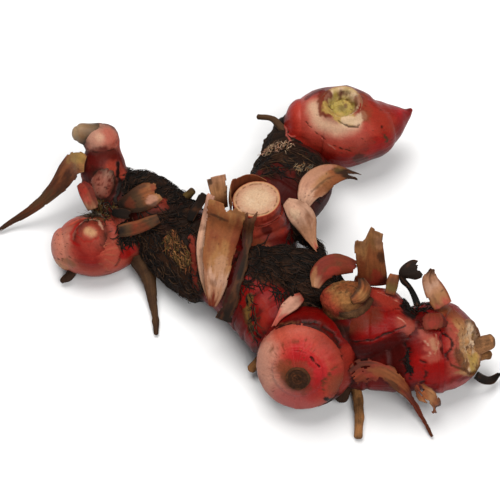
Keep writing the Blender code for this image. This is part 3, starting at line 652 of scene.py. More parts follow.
# name: paint below, paint on top, share of pale patches, roughness, material
LOOKS = {
    "trunk": ("blood", "deep", 0.0, 0.42, "skin"),
    "front_bulb": ("blood", "deep", 0.0, 0.34, "skin"),
    "front_plateau": ("salmon", "pink", 0.0, 0.4, "skin"),
    "front_stub": ("brown", "umber", 0.0, 0.75, "bark"),
    "mid_lobe": ("deep", "blood", 0.0, 0.34, "skin"),
    "mid_upper": ("blood", "brick", 0.1, 0.36, "skin"),
    "mid_stub": ("oak", "plum", 0.0, 0.6, "bark"),
    "mid_rim": ("tan", "brown", 0.0, 0.75, "bark"),
    "right_lobe": ("deep", "blood", 0.0, 0.4, "skin"),
    "upper_arm": ("wine", "maroon", 0.0, 0.55, "skin"),
    "upper_neck": ("umber", "dark", 0.0, 0.75, "bark"),
    "upper_bulb": ("crimson", "deep", 0.0, 0.3, "skin"),
    "upper_rim": ("flesh", "rust", 0.0, 0.6, "flesh"),
    "disc_stem": ("deep", "salmon", 0.0, 0.45, "skin"),
    "left_shoot": ("salmon", "wine", 0.1, 0.5, "skin"),
    "shoot_knob": ("putty", "oak", 0.0, 0.5, "flesh"),
    "left_bulb": ("salmon", "coral", 0.15, 0.42, "skin"),
    "left_stub": ("coral", "salmon", 0.0, 0.45, "skin"),
    "pink_bud": ("pale", "coral", 0.2, 0.5, "skin"),
    "side_bud": ("salmon", "wine", 0.1, 0.6, "skin"),
    "back_mat": ("dark", "black", 0.0, 0.85, "bark"),
    "neck_mat": ("dark", "umber", 0.0, 0.85, "bark"),
    "crown_mat": ("dark", "black", 0.0, 0.85, "bark"),
    "crown_loop": ("dark", "black", 0.0, 0.85, "bark"),
}

# The way the strands run on the matted lobes
MAT_WAYS = {"back_mat": (0.8, 0.5, 0.3), "neck_mat": (0.6, -0.8, -0.2), "crown_mat": (1, -0.45, 0),
            "crown_loop": (0.5, -0.8, 0.3), "upper_neck": (1, -0.35, 0)}

# The skin that the torn bowl takes away: centre of its mouth, the way out, radius and depth
BOWL_CENTRE = (37.6, 59.6, 36.4)
BOWL_AXIS = (-0.095, -0.095, 0.991)
BOWL_RADIUS, BOWL_DEPTH = 7.4, 12


def in_bowl(points):
    """Which points lie above the torn bowl in the upper bulb or in it."""
    offset = points - np.array(BOWL_CENTRE)
    height = offset @ np.array(BOWL_AXIS)
    across = np.linalg.norm(offset - height[:, None] * BOWL_AXIS, axis=1)
    return (across < BOWL_RADIUS) & (height > -BOWL_DEPTH)


def base_paint(surface, s, a, radius, top, pale, kind):
    """The lobe's two paints, lengthwise streaks, pale patches, specks of soil and uneven form."""
    p = surface.p
    surface.blend(ease(0.5 + fbm(p, 9, 3, 21)), top)
    surface.blend(pale * ease(0.3 + fbm(p, 12, 2, 31)), "pink")
    turn = np.stack([s / 9, np.cos(a) * radius, np.sin(a) * radius], -1)
    streaks = noise(turn * (1, 1.5, 1.5), 1, 41) + 0.6 * noise(turn * (1.6, 3.2, 3.2), 1, 43)
    surface.shade(1 + 0.1 * streaks)
    surface.h += 0.05 * streaks + 0.22 * fbm(p, 7, 3, 51)
    if kind == "skin":
        spots = noise(p, 0.9, 45) + 0.6 * noise(p, 0.45, 46) - 0.5 * noise(p, 14, 47)
        surface.blend(0.75 * ease((spots - 0.88) * 5), "umber", 0.7)
        smudge = ease((fbm(p, 4.5, 4, 48) - 0.3) * 4) * ease(0.9 - noise(p, 16, 49))
        surface.blend(0.4 * smudge, "chestnut", 0.65)
    if kind == "bark":
        surface.h += 0.3 * fbm(p, 2.2, 3, 61)


def ring_scars(surface, s, scars):
    """The rings where scales grew: a dark groove and a raised edge before it."""
    for k, scar in enumerate(scars):
        ring = s - scar - 0.7 * noise(surface.p, 6, 71 + k)
        gaps = ease(0.9 + fbm(surface.p, 3, 2, 81 + k))
        surface.blend(0.75 * gaps * bell(ring, 0.45), "dark", 0.7)
        surface.blend(0.3 * bell(ring - 1.1, 0.9), "wine")
        surface.h += 0.25 * bell(ring + 1.6, 1.2) - 0.5 * bell(ring, 0.8)


def joins(surface, near):
    """Painted shade where lobes meet and underneath, and a fillet; `near` is how far off the
    others are.
    """
    # Painted shade, strongest at the join and fading away from it.
    surface.shade(1 - JOIN_SHADE * bell(np.maximum(near, 0), JOIN_REACH))
    # A patchy dark band painted in the crease stands in for the shade there.
    patchy_crease_shade = ease(0.8 + fbm(surface.p, 3, 2, 91))
    surface.blend(0.85 * bell(near, 0.9) * patchy_crease_shade, "dark", 0.7)
    # Painted shade on the skin that faces down.
    surface.shade(1 - UNDERSIDE_SHADE * ease(0.35 - surface.n[:, 2] / 1.1))
    surface.h += 0.25 * FILLET * np.clip((FILLET - near) / FILLET, 0, 1) ** 2


def skin_piece(name, samples, marks):
    """One lobe's skin, with its paint, scars, joins, details and marks; its points and faces."""
    shape = LOBES[name]
    below, top, pale, rough, kind = LOOKS[name]
    surface, s, a, faces = Surface.of_lobe(shape, SKIN_SPACING, below, rough)
    radius = max(row[3] for row in shape["path"])
    length = smooth_rows(shape["path"], [0])[1]
    near = np.full(len(surface.p), FAR)
    for other in samples:
        if other != name:
            near = np.minimum(near, samples[other].distance(surface.p))
    base_paint(surface, s, a, radius, top, pale, kind)
    if name in MAT_WAYS:
        surface.crust(np.ones(len(surface.p)), MAT_WAYS[name])
    ring_scars(surface, s, shape.get("scars", ()))
    joins(surface, near)
    if name in DETAILS:
        DETAILS[name](surface, s - length, a, shape["path"][-1][3])
    for kind_of_mark, lobes, seen, values in marks:
        at = surface.on_skin(seen) if name in lobes.split() else ()
        if len(at):
            getattr(surface, kind_of_mark)(at, **values)
    shown = (near[faces] > -HIDDEN_DEPTH).any(axis=1)
    if name == "upper_bulb":
        shown &= ~in_bowl(surface.p[faces].mean(axis=1))
    elif name == "upper_rim":
        shown |= s[faces].max(axis=1) > length - 1
    placed, faces, colours, roughness = compact(
        surface.raised(), faces[shown], surface.c, surface.r)
    obj = build_mesh("skin_" + name, placed, faces, colours, roughness, MATERIALS[kind])
    finish_piece(obj, "rhizome")
    return placed, faces


def finish_piece(obj, node):
    """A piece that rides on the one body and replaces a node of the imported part."""
    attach(obj, "root")
    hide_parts(node)


# The details at the ends of lobes. `past` is how far a point lies past the lobe's last row, and
# `a` its angle round the lobe.


def cut_stem(surface, past, a, radius):
    """The large pale cut stem: cream flesh, a thin sheath ring and a striped skin below."""
    p = surface.p
    u = 1 - past / radius
    face = ease(past / 0.3)
    surface.blend(face, "cream", 0.6)
    surface.blend(face * ease((u - 0.45) / 0.5) * 0.8, "pale")
    surface.blend(face * 0.5 * ease(0.2 + fbm(p, 3, 3, 201)), "ivory")
    surface.blend(face * (0.2 + 0.35 * ease((u - 0.35) / 0.5)), "fawn")
    ring = bell(u - 0.86 + 0.015 * noise(p, 3, 202), 0.022)
    dots = ease(0.6 + 1.5 * noise(p, 0.7, 203))
    surface.blend(face * ring * dots * 0.85, "brown")
    surface.blend(face * ease((u - 0.88) / 0.05), "flesh")
    surface.blend(face * bell(u - 0.985, 0.02) * 0.7, "rust")
    surface.blend(face * ease((noise(p, 0.8, 204) - 0.55) * 4) * 0.35, "tan")
    surface.h += face * (0.12 * fbm(p, 1.5, 2, 205) - 0.35 * ring)
    side = 1 - face
    below = ease((-past - 0.4) / 0.8) * side
    surface.blend(ease((3.2 + past) / 1.5) * side * 0.8, "salmon")
    stripes = noise(np.stack([a * radius / 0.5, past / 5, 0 * a], -1), 1, 206)
    surface.blend(below * ease(stripes * 1.6) * 0.5, "deep")


def torn_end(surface, past, a, radius):
    """The cut right end: yellow, fibrous flesh, browned in places."""
    p = surface.p
    u = 1 - past / radius + 0.06 * noise(p, 4, 211)
    face = ease(past / 0.5 + 0.3)
    surface.blend(face, "straw", 0.65)
    surface.blend(face * ease(0.5 + 1.6 * fbm(p, 5, 3, 213)) * 0.8, "yellow")
    surface.blend(face * ease(0.3 + 1.4 * fbm(p, 4, 3, 214)), "cream")
    surface.blend(face * ease((fbm(p, 1.6, 3, 215) - 0.25) * 3) * 0.7, "brown")
    surface.blend(face * ease((u - 0.8) / 0.15) * 0.8, "chestnut")
    lumps = 0.8 * fbm(p, 2.6, 4, 212) + 0.3 * fbm(p, 1, 2, 216)
    surface.h += face * (lumps - 0.5 * ease(0.8 - u))


def ringed_stub(surface, past, a, radius):
    """The cut stem on the front bulb: dark, with the rings of its sheaths."""
    p = surface.p
    u = 1 - past / radius + 0.03 * noise(p, 2.5, 221)
    face = ease(past / 0.25)
    rings = np.cos(u * radius * 2 * math.pi / 0.95)
    surface.blend(face, "umber", 0.8)
    surface.blend(face * ease(rings) * 0.55 * ease(0.7 + noise(p, 1.6, 222)), "sienna")
    surface.blend(face * ease((0.45 - u) / 0.3) * 0.6, "umber")
    surface.blend(face * ease((noise(p, 0.6, 223) - 0.3) * 3) * 0.5, "dark")
    surface.h += face * (0.18 * rings + 0.15 * noise(p, 0.8, 224))
    surface.blend((1 - face) * 0.7, "bark")


def sheath_dome(surface, past, a, radius):
    """The dome of the middle stem stub: dotted fibre ends in rings on orange-tan flesh."""
    p = surface.p
    u = np.clip(1 - past / radius, 0, 1)
    top = ease(past / 1.5 + 0.5)
    surface.blend(top, "oak", 0.7)
    surface.blend(top * ease(0.3 + 1.4 * fbm(p, 6, 2, 231)), "sienna")
    rings = np.cos(u * radius * 2 * math.pi / 1.3 + 0.8 * noise(p, 3, 232))
    dots = noise(p, 0.7, 233)
    surface.blend(top * ease((dots + 0.3 * rings - 0.1) * 2.5) * 0.75, "bark")
    surface.h += top * (0.14 * dots + 0.1 * rings)


def plateau(surface, past, a, radius):
    """The turned face of the front bulb: paler than the band round it and lined with hairs."""
    surface.blend(ease(0.5 + fbm(surface.p, 8, 3, 242)) * 0.5, "coral")
    hairs = noise(np.stack([np.cos(a) * 34, np.sin(a) * 34, past / 7], -1), 1, 243)
    surface.shade(1 + 0.1 * hairs)
    surface.h += 0.05 * hairs


def torn_bowl(surface, past, a, radius):
    """The bowl in the upper bulb: yellow-green fibrous flesh within a cream rim."""
    p = surface.p
    u = 1 - past / radius
    inside = ease(past / 1.0)
    surface.blend(1 - inside, "flesh", 0.55)
    surface.blend(inside, "yellow", 0.6)
    surface.blend(inside * ease(0.4 + 1.5 * fbm(p, 4, 3, 251)) * 0.7, "lime")
    surface.blend(inside * ease((u - 0.55) / 0.3) * ease(0.6 + fbm(p, 5, 2, 252)), "cream")
    surface.blend(inside * ease((fbm(p, 2.2, 3, 253) - 0.25) * 3) * 0.75, "brown")
    surface.blend(inside * ease((0.3 - u) / 0.2) * 0.5, "bark")
    surface.h += inside * (0.7 * fbm(p, 2.4, 3, 254) + 0.25 * fbm(p, 1, 2, 255))


DETAILS = {
    "disc_stem": cut_stem, "right_lobe": torn_end, "front_stub": ringed_stub,
    "mid_stub": sheath_dome, "front_plateau": plateau, "upper_rim": torn_bowl,
}


def zone(lobes, radius, colour, strength=1.0, *, pixels, **more):
    """A patch on the lobes named, round a line through pixels of the photo."""
    return "zone", lobes, pixels, dict(more, radius=radius, colour=colour, strength=strength)


def line(lobes, width, colour, strength=0.9, *, pixels, **more):
    """A thin crack, scar or raised line through pixels of the photo."""
    return "line", lobes, pixels, dict(more, width=width, colour=colour, strength=strength)


def specks(lobes, radius, colour, strength=0.8, *, pixels, **more):
    """Specks round a line through pixels of the photo."""
    return "specks", lobes, pixels, dict(more, radius=radius, colour=colour, strength=strength)


# What is seen on the skin, each mark over those before it. The camera's rays through a mark's
# pixels of the photo (500 x 500) give its place on the rhizome.
UPPER_BULB_MARKS = [
    zone("upper_bulb", 6, "scarlet", 0.5, pixels=[(294, 112), (296, 138), (312, 153), (340, 160)],
         soft=1.2),
    zone("upper_bulb", 7, "salmon", 0.5, pixels=[(304, 112), (310, 128), (330, 144), (356, 142)],
         soft=1.9, ragged=0.15),
    # Painted shade: deeper red along the lower edge of the upper bulb.
    zone("upper_bulb", 5, "deep", 0.7, pixels=[(330, 160), (350, 163)], soft=1),
    zone("upper_bulb", 8, "salmon", 0.5, pixels=[(374, 112), (386, 120)], soft=1.2),
    zone("upper_bulb", 5.5, "pink", 0.75, pixels=[(312, 102), (318, 122), (334, 132), (356, 130)],
         soft=1.9, ragged=0.15),
    zone("upper_bulb", 2.8, "cream", 0.75, pixels=[(314, 106), (320, 122), (336, 129), (353, 124)],
         soft=2, ragged=0.15),
    zone("upper_bulb upper_rim", 3, "russet", 0.9, pixels=[(322, 94), (324, 103), (330, 112)],
         ragged=0.7, rough=0.7),
    zone("upper_bulb upper_rim", 2.6, "yellow", 0.85, pixels=[(330, 104), (338, 114), (350, 119)],
         ragged=0.7, rough=0.65),
    zone("upper_bulb upper_rim", 1.7, "cream", 0.85, pixels=[(346, 121), (357, 121), (364, 114)],
         ragged=0.6),
    line("upper_bulb", 0.3, "bark", pixels=[(338, 122), (348, 127), (358, 127), (366, 119)],
         broken=0.25, depth=0.3),
    zone("upper_rim", 2.2, "wine", 0.8, pixels=[(326, 90), (340, 85), (354, 88)], ragged=0.5),
    zone("upper_bulb", 3, "deep", 0.7, pixels=[(318, 92), (330, 86)], soft=1.2),
    zone("upper_bulb", 3.6, "wine", 0.7, pixels=[(366, 96), (378, 104), (392, 109)], soft=1.2,
         ragged=0.6),
    zone("upper_bulb upper_rim", 2.4, "rust", 0.8, pixels=[(364, 96), (367, 106), (366, 115)],
         ragged=0.8, rough=0.7),
    zone("upper_bulb", 6, "brick", 0.6, pixels=[(372, 104), (384, 112)], soft=1.2),
    specks("upper_bulb", 7, "umber", pixels=[(368, 100), (378, 108)], size=1, share=0.3),
    line("upper_bulb", 0.28, "umber", pixels=[(306, 122), (318, 134), (333, 144), (354, 152)],
         broken=0.35, depth=0.25),
    line("upper_bulb", 0.18, "pale", 0.6, pixels=[(319, 137), (334, 147), (353, 154)], broken=0.35,
         depth=-0.1),
    zone("upper_bulb", 0.8, "dark", pixels=[(382, 127)]),
    zone("upper_bulb", 1.1, "bark", pixels=[(385, 135), (387, 140)], ragged=0.7),
    zone("upper_bulb", 0.9, "dark", pixels=[(381, 101)], ragged=0.6),
    # Painted highlight: a soft magenta glint near the tip of the upper bulb.
    zone("upper_bulb", 4, "magenta", 0.35, pixels=[(401, 114), (406, 112)], soft=1.4),
    zone("upper_bulb", 1.6, "wine", 0.75, pixels=[(308, 97), (321, 89), (336, 86)], ragged=0.5),
    zone("upper_bulb", 1.8, "wine", 0.75, pixels=[(380, 100), (395, 106), (408, 109)], soft=0.9,
         ragged=0.5),
    zone("upper_bulb", 3, "deep", 0.7, pixels=[(407, 116), (400, 128)], soft=1.2),
    zone("upper_bulb", 2.2, "umber", 0.7, pixels=[(355, 158), (365, 160)], ragged=0.6),
    specks("upper_bulb", 14, "umber", pixels=[(320, 140), (370, 150)], size=0.6, share=0.12),
]
ARM_MARKS = [
    zone("upper_arm upper_neck", 10, "dark", 0.97, pixels=[(262, 152), (288, 160), (318, 174)],
         ragged=0.35, rough=0.85, way=(1, -0.35, 0)),
    zone("upper_arm", 5, "maroon", 0.85, pixels=[(282, 186), (300, 192), (322, 196)], soft=0.9),
    zone("upper_arm", 3, "wine", 0.8, pixels=[(252, 170), (256, 178), (262, 186)], ragged=0.5),
    zone("upper_arm", 1.6, "wine", 0.6, pixels=[(274, 166), (290, 174)], ragged=0.9, soft=1),
    line("upper_bulb upper_neck", 0.4, "pink", 0.8, pixels=[(284, 126), (288, 138), (296, 149)],
         depth=-0.3),
]
CUT_STEM_MARKS = [
    # Painted highlight: a pink line along the raised ridge below the cut stem.
    line("disc_stem", 0.5, "pink", 0.7, pixels=[(262, 226), (272, 222), (280, 214)], depth=-0.25),
    zone("disc_stem", 4, "plum", 0.8, pixels=[(256, 232), (270, 236), (276, 226)], soft=1),
    zone("disc_stem", 4, "wine", 0.8, pixels=[(252, 243), (262, 250), (272, 244)], soft=1),
    zone("disc_stem trunk", 2.2, "maroon", 0.8, pixels=[(267, 231)], ragged=0.6),
    zone("disc_stem", 3, "rust", 0.6, pixels=[(250, 243), (262, 247)], soft=0.9),
    # Painted highlight on the same ridge, further left.
    zone("disc_stem", 3, "salmon", 0.6, pixels=[(247, 228), (252, 232)], soft=0.9),
]
TRUNK_MARKS = [
    zone("trunk", 17, "dark", 0.97, pixels=[(128, 232), (150, 232), (178, 252)], soft=0.2,
         ragged=0.08, rough=0.85, way=(0.6, -0.8, -0.2)),
    zone("trunk", 5, "dark", 0.95, pixels=[(186, 222), (184, 240), (186, 262)], soft=0.5,
         rough=0.85),
    zone("trunk", 8, "umber", 0.9, pixels=[(160, 258), (190, 280)], soft=0.6, rough=0.85),
    line("trunk neck_mat", 1.2, "plum", pixels=[(192, 237), (194, 262), (197, 288)], depth=-0.2),
    line("trunk neck_mat", 0.5, "black", pixels=[(189, 240), (190, 262), (193, 290)]),
    zone("trunk crown_mat", 5, "dark", 0.96,
         pixels=[(246, 262), (262, 272), (286, 280), (305, 288)], ragged=0.5, rough=0.85,
         way=(1, -0.45, 0)),
    zone("trunk", 4.5, "blood", 0.8, pixels=[(236, 290), (244, 318), (254, 340)], soft=0.9),
    line("trunk", 0.5, "dark", pixels=[(241, 288), (240, 306), (246, 328)], broken=0.3, depth=0.4),
    zone("trunk", 1.4, "olive", 0.9, pixels=[(250, 297), (247, 312), (250, 328)], ragged=0.9,
         rough=0.85, way=(0.1, -1, -0.4)),
    line("trunk", 0.55, "black", pixels=[(255, 318), (257, 335), (263, 356)], depth=0.45),
    line("trunk", 0.3, "umber", pixels=[(262, 300), (259, 322), (263, 344)], broken=0.4),
    zone("trunk", 5, "blood", 0.85, pixels=[(270, 298), (276, 312), (284, 320)], soft=1),
    zone("trunk", 1.6, "brick", 0.5, pixels=[(263, 300), (266, 312), (263, 326)], soft=1.4),
    line("trunk", 0.3, "bark", pixels=[(268, 295), (274, 306), (272, 322)], broken=0.45,
         depth=-0.1),
    zone("trunk", 4.5, "wine", 0.8, pixels=[(230, 282), (230, 300), (238, 322)], soft=0.9),
]
MIDDLE_MARKS = [
    # Painted shadow: maroon along the torn rim of the middle stub.
    zone("mid_stub mid_lobe mid_upper", 2.2, "maroon", 0.85,
         pixels=[(342, 309), (357, 310), (369, 303)]),
    zone("mid_stub", 3.4, "brick", 0.85, pixels=[(320, 290), (324, 300), (332, 306)], soft=1.2),
    zone("mid_stub", 2.4, "ochre", 0.4, pixels=[(336, 300), (346, 304), (354, 302)], soft=1.4),
    # Painted highlight: a lighter red patch on top of the middle lobe.
    zone("mid_upper mid_lobe", 3.4, "brick", 0.8, pixels=[(378, 296), (390, 302), (398, 306)],
         soft=1),
    # Painted highlight: a thin light line along its edge.
    line("mid_upper mid_lobe", 0.25, "salmon", 0.7, pixels=[(376, 290), (388, 296), (400, 303)],
         depth=-0.15),
    line("mid_upper mid_lobe", 0.35, "maroon", pixels=[(372, 309), (385, 312), (401, 309)]),
    # Painted highlight: another thin light line along that edge.
    line("mid_upper", 0.25, "pale", 0.6, pixels=[(378, 292), (392, 299), (402, 306)], depth=-0.1),
    zone("mid_upper mid_lobe", 2.5, "black", 0.95, pixels=[(406, 302), (409, 315)], ragged=0.7,
         rough=0.85),
    zone("mid_lobe", 6, "crimson", 0.6, pixels=[(366, 322), (386, 326)], soft=1.5),
    zone("mid_lobe", 3, "chestnut", 0.6, pixels=[(352, 326), (362, 322), (374, 316)], soft=1.2),
    zone("mid_lobe", 2.6, "rosy", 0.7, pixels=[(402, 322), (408, 328)], soft=1.2),
    line("mid_lobe", 0.2, "pale", 0.7, pixels=[(398, 318), (408, 326)], depth=-0.1),
    line("mid_lobe", 0.4, "dark", pixels=[(348, 341), (372, 340), (392, 333), (405, 325)],
         depth=0.4, broken=0.15),
    # Painted shade: maroon along the lower edge of the middle lobe.
    zone("mid_lobe", 3, "maroon", 0.8, pixels=[(352, 348), (378, 350), (398, 338)]),
]
FRONT_BULB_MARKS = [
    zone("front_bulb", 3.5, "deep", 0.7,
         pixels=[(262, 334), (280, 316), (300, 310), (325, 315), (342, 330), (350, 350)],
         soft=0.9),
    zone("front_bulb", 3.2, "brick", 0.7, pixels=[(345, 352), (349, 368), (343, 386)], soft=0.9),
    zone("front_plateau", 5, "coral", 0.6, pixels=[(276, 338), (292, 332), (308, 334)], soft=1.5),
    zone("front_plateau", 4, "brick", 0.6, pixels=[(326, 340), (334, 354), (336, 370)], soft=1.5),
    zone("front_plateau", 5.5, "pale", 0.85, pixels=[(264, 352), (264, 372), (274, 390)],
         soft=1.5),
    zone("front_plateau", 5.2, "magenta", 0.85, pixels=[(298, 354), (312, 364), (320, 378)],
         soft=1.7),
    zone("front_plateau", 3.4, "crimson", 0.45, pixels=[(300, 358), (310, 364)], soft=1.7),
    zone("front_plateau", 5, "rose", 0.8, pixels=[(284, 396), (306, 402)], soft=1.4),
    zone("front_plateau", 3.4, "crimson", 0.6, pixels=[(318, 384), (314, 396)], soft=1.6),
    line("front_plateau", 0.3, "salmon", 0.6,
         pixels=[(300, 347), (315, 350), (326, 360), (329, 374)], depth=-0.2),
    line("front_plateau", 0.25, "blood", 0.5,
         pixels=[(281, 356), (290, 350), (303, 351), (313, 358)], depth=0.15, broken=0.2),
    zone("front_plateau", 3.2, "rust", 0.75, pixels=[(283, 368), (289, 381)], soft=0.9,
         ragged=0.6),
    zone("front_plateau", 6.4, "brown", 0.5, pixels=[(298, 378)], soft=0.5, ragged=0.5),
    zone("front_plateau", 4, "rust", 0.7, pixels=[(334, 384)], soft=0.8),
    line("front_plateau", 0.25, "brown", pixels=[(328, 374), (323, 381), (323, 388), (327, 395)],
         broken=0.3, depth=0.4),
    line("front_bulb front_plateau", 0.3, "brown", pixels=[(271, 326), (285, 323), (299, 323)],
         depth=0.3),
    line("front_bulb front_plateau", 0.45, "dark",
         pixels=[(303, 322), (317, 323), (330, 331), (339, 343), (341, 358)], broken=0.35,
         depth=0.5),
    line("front_plateau", 0.28, "brown", 0.6,
         pixels=[(266, 358), (272, 350), (286, 343), (306, 341), (312, 352)], broken=0.3),
    *(line("front_plateau", 0.22, "russet", 0.5, pixels=ends, depth=0.15)
      for ends in ([(286, 351), (282, 348)], [(284, 353), (279, 351)], [(281, 355), (276, 354)],
                   [(279, 358), (274, 357)], [(278, 361), (272, 361)], [(277, 364), (271, 365)],
                   [(276, 367), (271, 369)])),
    line("front_plateau", 0.45, "dark", pixels=[(311, 357), (320, 366)], depth=0.5),
    line("front_plateau", 0.3, "brown", pixels=[(336, 366), (330, 372), (326, 380)], broken=0.3),
    zone("front_bulb front_plateau", 0.8, "dark", pixels=[(326, 398), (331, 400)], ragged=1),
    specks("front_plateau", 9, "brown", pixels=[(285, 335), (300, 345)], size=0.6, share=0.25),
    specks("front_plateau", 8, "umber", pixels=[(270, 375), (285, 392)], size=0.6, share=0.2),
]
RIGHT_LOBE_MARKS = [
    # Painted shade: maroon where the right lobe lies below the middle lobe.
    zone("right_lobe", 6, "maroon", 0.9, pixels=[(382, 346), (396, 350), (396, 372)], soft=0.8),
    zone("right_lobe", 7, "crimson", 0.8, pixels=[(425, 372), (444, 374)], soft=0.9),
    zone("right_lobe", 2.6, "rosy", 0.8, pixels=[(426, 336), (432, 343), (433, 356)], soft=0.9,
         ragged=0.7),
    zone("right_lobe", 1.3, "fawn", 0.75, pixels=[(431, 340), (434, 348)], soft=1.2, ragged=0.7),
    line("right_lobe", 0.22, "blush", 0.7, pixels=[(424, 338), (431, 348), (429, 360)],
         depth=-0.15),
    line("right_lobe", 0.22, "fawn", 0.7, pixels=[(436, 334), (438, 346), (434, 358)],
         depth=-0.15),
    zone("right_lobe", 2.6, "crimson", 0.9, pixels=[(444, 338), (447, 350)], soft=0.4),
    zone("right_lobe", 3.6, "rosy", 0.8, pixels=[(456, 322), (456, 345), (458, 370)], soft=1.2),
    zone("right_lobe", 2.6, "straw", 0.85, pixels=[(461, 326), (463, 348), (465, 370)], soft=0.7,
         ragged=0.7),
    specks("right_lobe", 6, "brown", pixels=[(452, 318), (462, 326)], size=0.9, share=0.45),
    zone("right_lobe", 3, "rose", 0.7, pixels=[(446, 388), (462, 384)], soft=0.9),
    line("right_lobe", 0.6, "black", pixels=[(417, 306), (414, 322), (409, 334), (405, 346)],
         depth=0.4, broken=0.2),
    line("right_lobe", 0.6, "black", pixels=[(405, 346), (411, 352), (406, 362), (412, 378)],
         depth=0.4, waver=1.2, broken=0.2),
    line("right_lobe", 0.6, "dark", pixels=[(422, 362), (426, 372), (422, 384)], depth=0.4,
         waver=1.2),
    line("right_lobe", 0.55, "black",
         pixels=[(440, 330), (447, 336), (453, 345), (447, 356), (452, 366)], depth=0.4, waver=1),
    line("right_lobe", 0.35, "umber", pixels=[(420, 330), (428, 328), (440, 330)], depth=0.3),
    line("right_lobe", 0.5, "brown", pixels=[(453, 366), (462, 370), (472, 374)], depth=0.4),
    zone("right_lobe", 1.2, "dark", pixels=[(455, 388), (468, 386)], ragged=0.8),
    zone("right_lobe", 2.4, "brown", 0.8, pixels=[(458, 356), (464, 364)], ragged=0.8),
    zone("right_lobe", 2.6, "maroon", 0.7, pixels=[(424, 302), (434, 305)], soft=1.2),
    zone("right_lobe", 3.4, "sienna", 0.7, pixels=[(446, 308), (456, 316)], soft=1.4, ragged=0.6),
    zone("right_lobe", 2.2, "black", pixels=[(419, 300), (428, 303)], ragged=0.8, rough=0.85),
    zone("right_lobe", 2.2, "brown", 0.7, pixels=[(474, 330), (478, 342)], ragged=0.8),
]
LEFT_BULB_MARKS = [
    zone("left_bulb", 6, "pale", 0.5, pixels=[(59, 240), (60, 258)], soft=1.3),
    zone("left_bulb left_stub", 5, "crimson", 0.7, pixels=[(82, 250), (94, 258)], soft=1.5),
    zone("left_bulb", 4, "coral", 0.6, pixels=[(106, 250), (112, 262)], soft=1.5),
    zone("left_bulb left_stub", 5, "rosy", 0.4, pixels=[(90, 241)], soft=1.4),
    line("left_bulb left_stub", 0.7, "crimson", 0.75,
         pixels=[(84, 222), (75, 227), (70, 235), (73, 243), (80, 246)], depth=0.3),
    line("left_bulb left_stub", 0.5, "coral", 0.8, pixels=[(96, 219), (82, 219), (71, 224)],
         depth=-0.3),
    zone("left_bulb left_stub", 1.6, "flesh", 0.85, pixels=[(88, 231), (92, 233)], soft=1.4,
         ragged=0.1),
    line("left_bulb left_stub", 0.4, "scarlet", 0.5,
         pixels=[(80, 228), (78, 234), (82, 240), (90, 242), (98, 238)], depth=0.25),
    line("left_bulb left_stub", 0.35, "blush", 0.7,
         pixels=[(80, 225), (88, 221), (98, 223), (102, 230)], depth=-0.25),
    *(line("left_bulb", 0.3, "straw", 0.2, pixels=ends, depth=-0.15)
      for ends in ([(103, 247), (113, 241)], [(104, 251), (117, 248)], [(104, 255), (118, 255)],
                   [(103, 259), (116, 263)], [(100, 263), (110, 270)])),
    line("left_bulb", 0.6, "umber", 0.6, pixels=[(118, 240), (122, 252), (117, 266)], depth=0.4),
    specks("left_bulb", 7, "dark", pixels=[(58, 240), (62, 262)], size=0.8, share=0.45),
    specks("left_bulb", 6, "dark", pixels=[(70, 215), (110, 225)], size=0.6, share=0.3),
    zone("left_bulb", 1.6, "olive", 0.5, pixels=[(66, 260), (71, 262)], ragged=0.9, soft=1.2),
    zone("left_bulb", 3, "straw", 0.6, pixels=[(60, 266)], soft=0.9),
    zone("left_bulb trunk", 2.6, "crimson", 0.9, pixels=[(125, 255), (130, 250)]),
]
SHOOT_MARKS = [
    zone("left_shoot", 7, "pale", 0.75, pixels=[(101, 138)], soft=1),
    zone("left_shoot", 3, "rosy", 0.7, pixels=[(108, 134), (112, 144)], soft=1.4),
    # Painted highlight: a small pale spot on the top of the shoot.
    zone("left_shoot", 1.8, "blush", 0.8, pixels=[(100, 137)], soft=1.3),
    zone("left_shoot", 3.6, "wine", 0.9, pixels=[(92, 158), (106, 156), (120, 160)], soft=0.7),
    zone("left_shoot", 3.2, "salmon", 0.5, pixels=[(112, 168), (120, 172)], soft=0.8),
    line("left_shoot", 0.3, "umber", pixels=[(88, 150), (100, 152), (114, 149)], broken=0.4),
    zone("left_shoot", 3.4, "olive", 0.8, pixels=[(96, 204)], ragged=0.6, rough=0.85),
    line("left_shoot side_bud", 0.9, "black", 0.95, pixels=[(117, 163), (118, 185), (115, 206)],
         depth=-0.4),
    line("pink_bud", 0.25, "wine", 0.7, pixels=[(108, 170), (104, 182), (100, 196)], broken=0.5),
    *(line("pink_bud", 0.2, "wine", 0.7, pixels=ends, depth=0.2)
      for ends in ([(97, 172), (103, 174)], [(96, 178), (102, 180)], [(96, 184), (102, 186)])),
    specks("pink_bud", 5, "wine", pixels=[(103, 176), (103, 190)], size=0.7, share=0.45),
]
MARKS = (UPPER_BULB_MARKS + ARM_MARKS + CUT_STEM_MARKS + TRUNK_MARKS + MIDDLE_MARKS
         + FRONT_BULB_MARKS + RIGHT_LOBE_MARKS + LEFT_BULB_MARKS + SHOOT_MARKS)

# The paints of the roots that aren't oak
ROOT_TONES = {"root_neck": "bark", "root_left": "umber", "root_stub": "umber",
              "root_back": "olive", "root_upper": "bark", "root_end_high": "tan"}
PALE_ROOTS = ("oak", "tan")


def root_piece(name, path):
    """A root stub with lengthwise ridges."""
    tone = ROOT_TONES.get(name, "oak")
    surface, s, a, faces = Surface.of_lobe(dict(path=path), ROOT_SPACING, tone, 0.75)
    patches = 0.7 * ease(0.4 + fbm(surface.p, 3, 3, 11))
    surface.blend(patches, "bark" if tone in PALE_ROOTS else "umber")
    streaks = noise(np.stack([s / 5, np.cos(a) * 4, np.sin(a) * 4], -1), 1, 12)
    surface.shade(1 + 0.25 * streaks)
    surface.h += 0.12 * streaks + 0.3 * fbm(surface.p, 3, 2, 13)
    obj = build_mesh(name, surface.raised(), faces, surface.c, surface.r, FIBRE)
    finish_piece(obj, "rhizome")


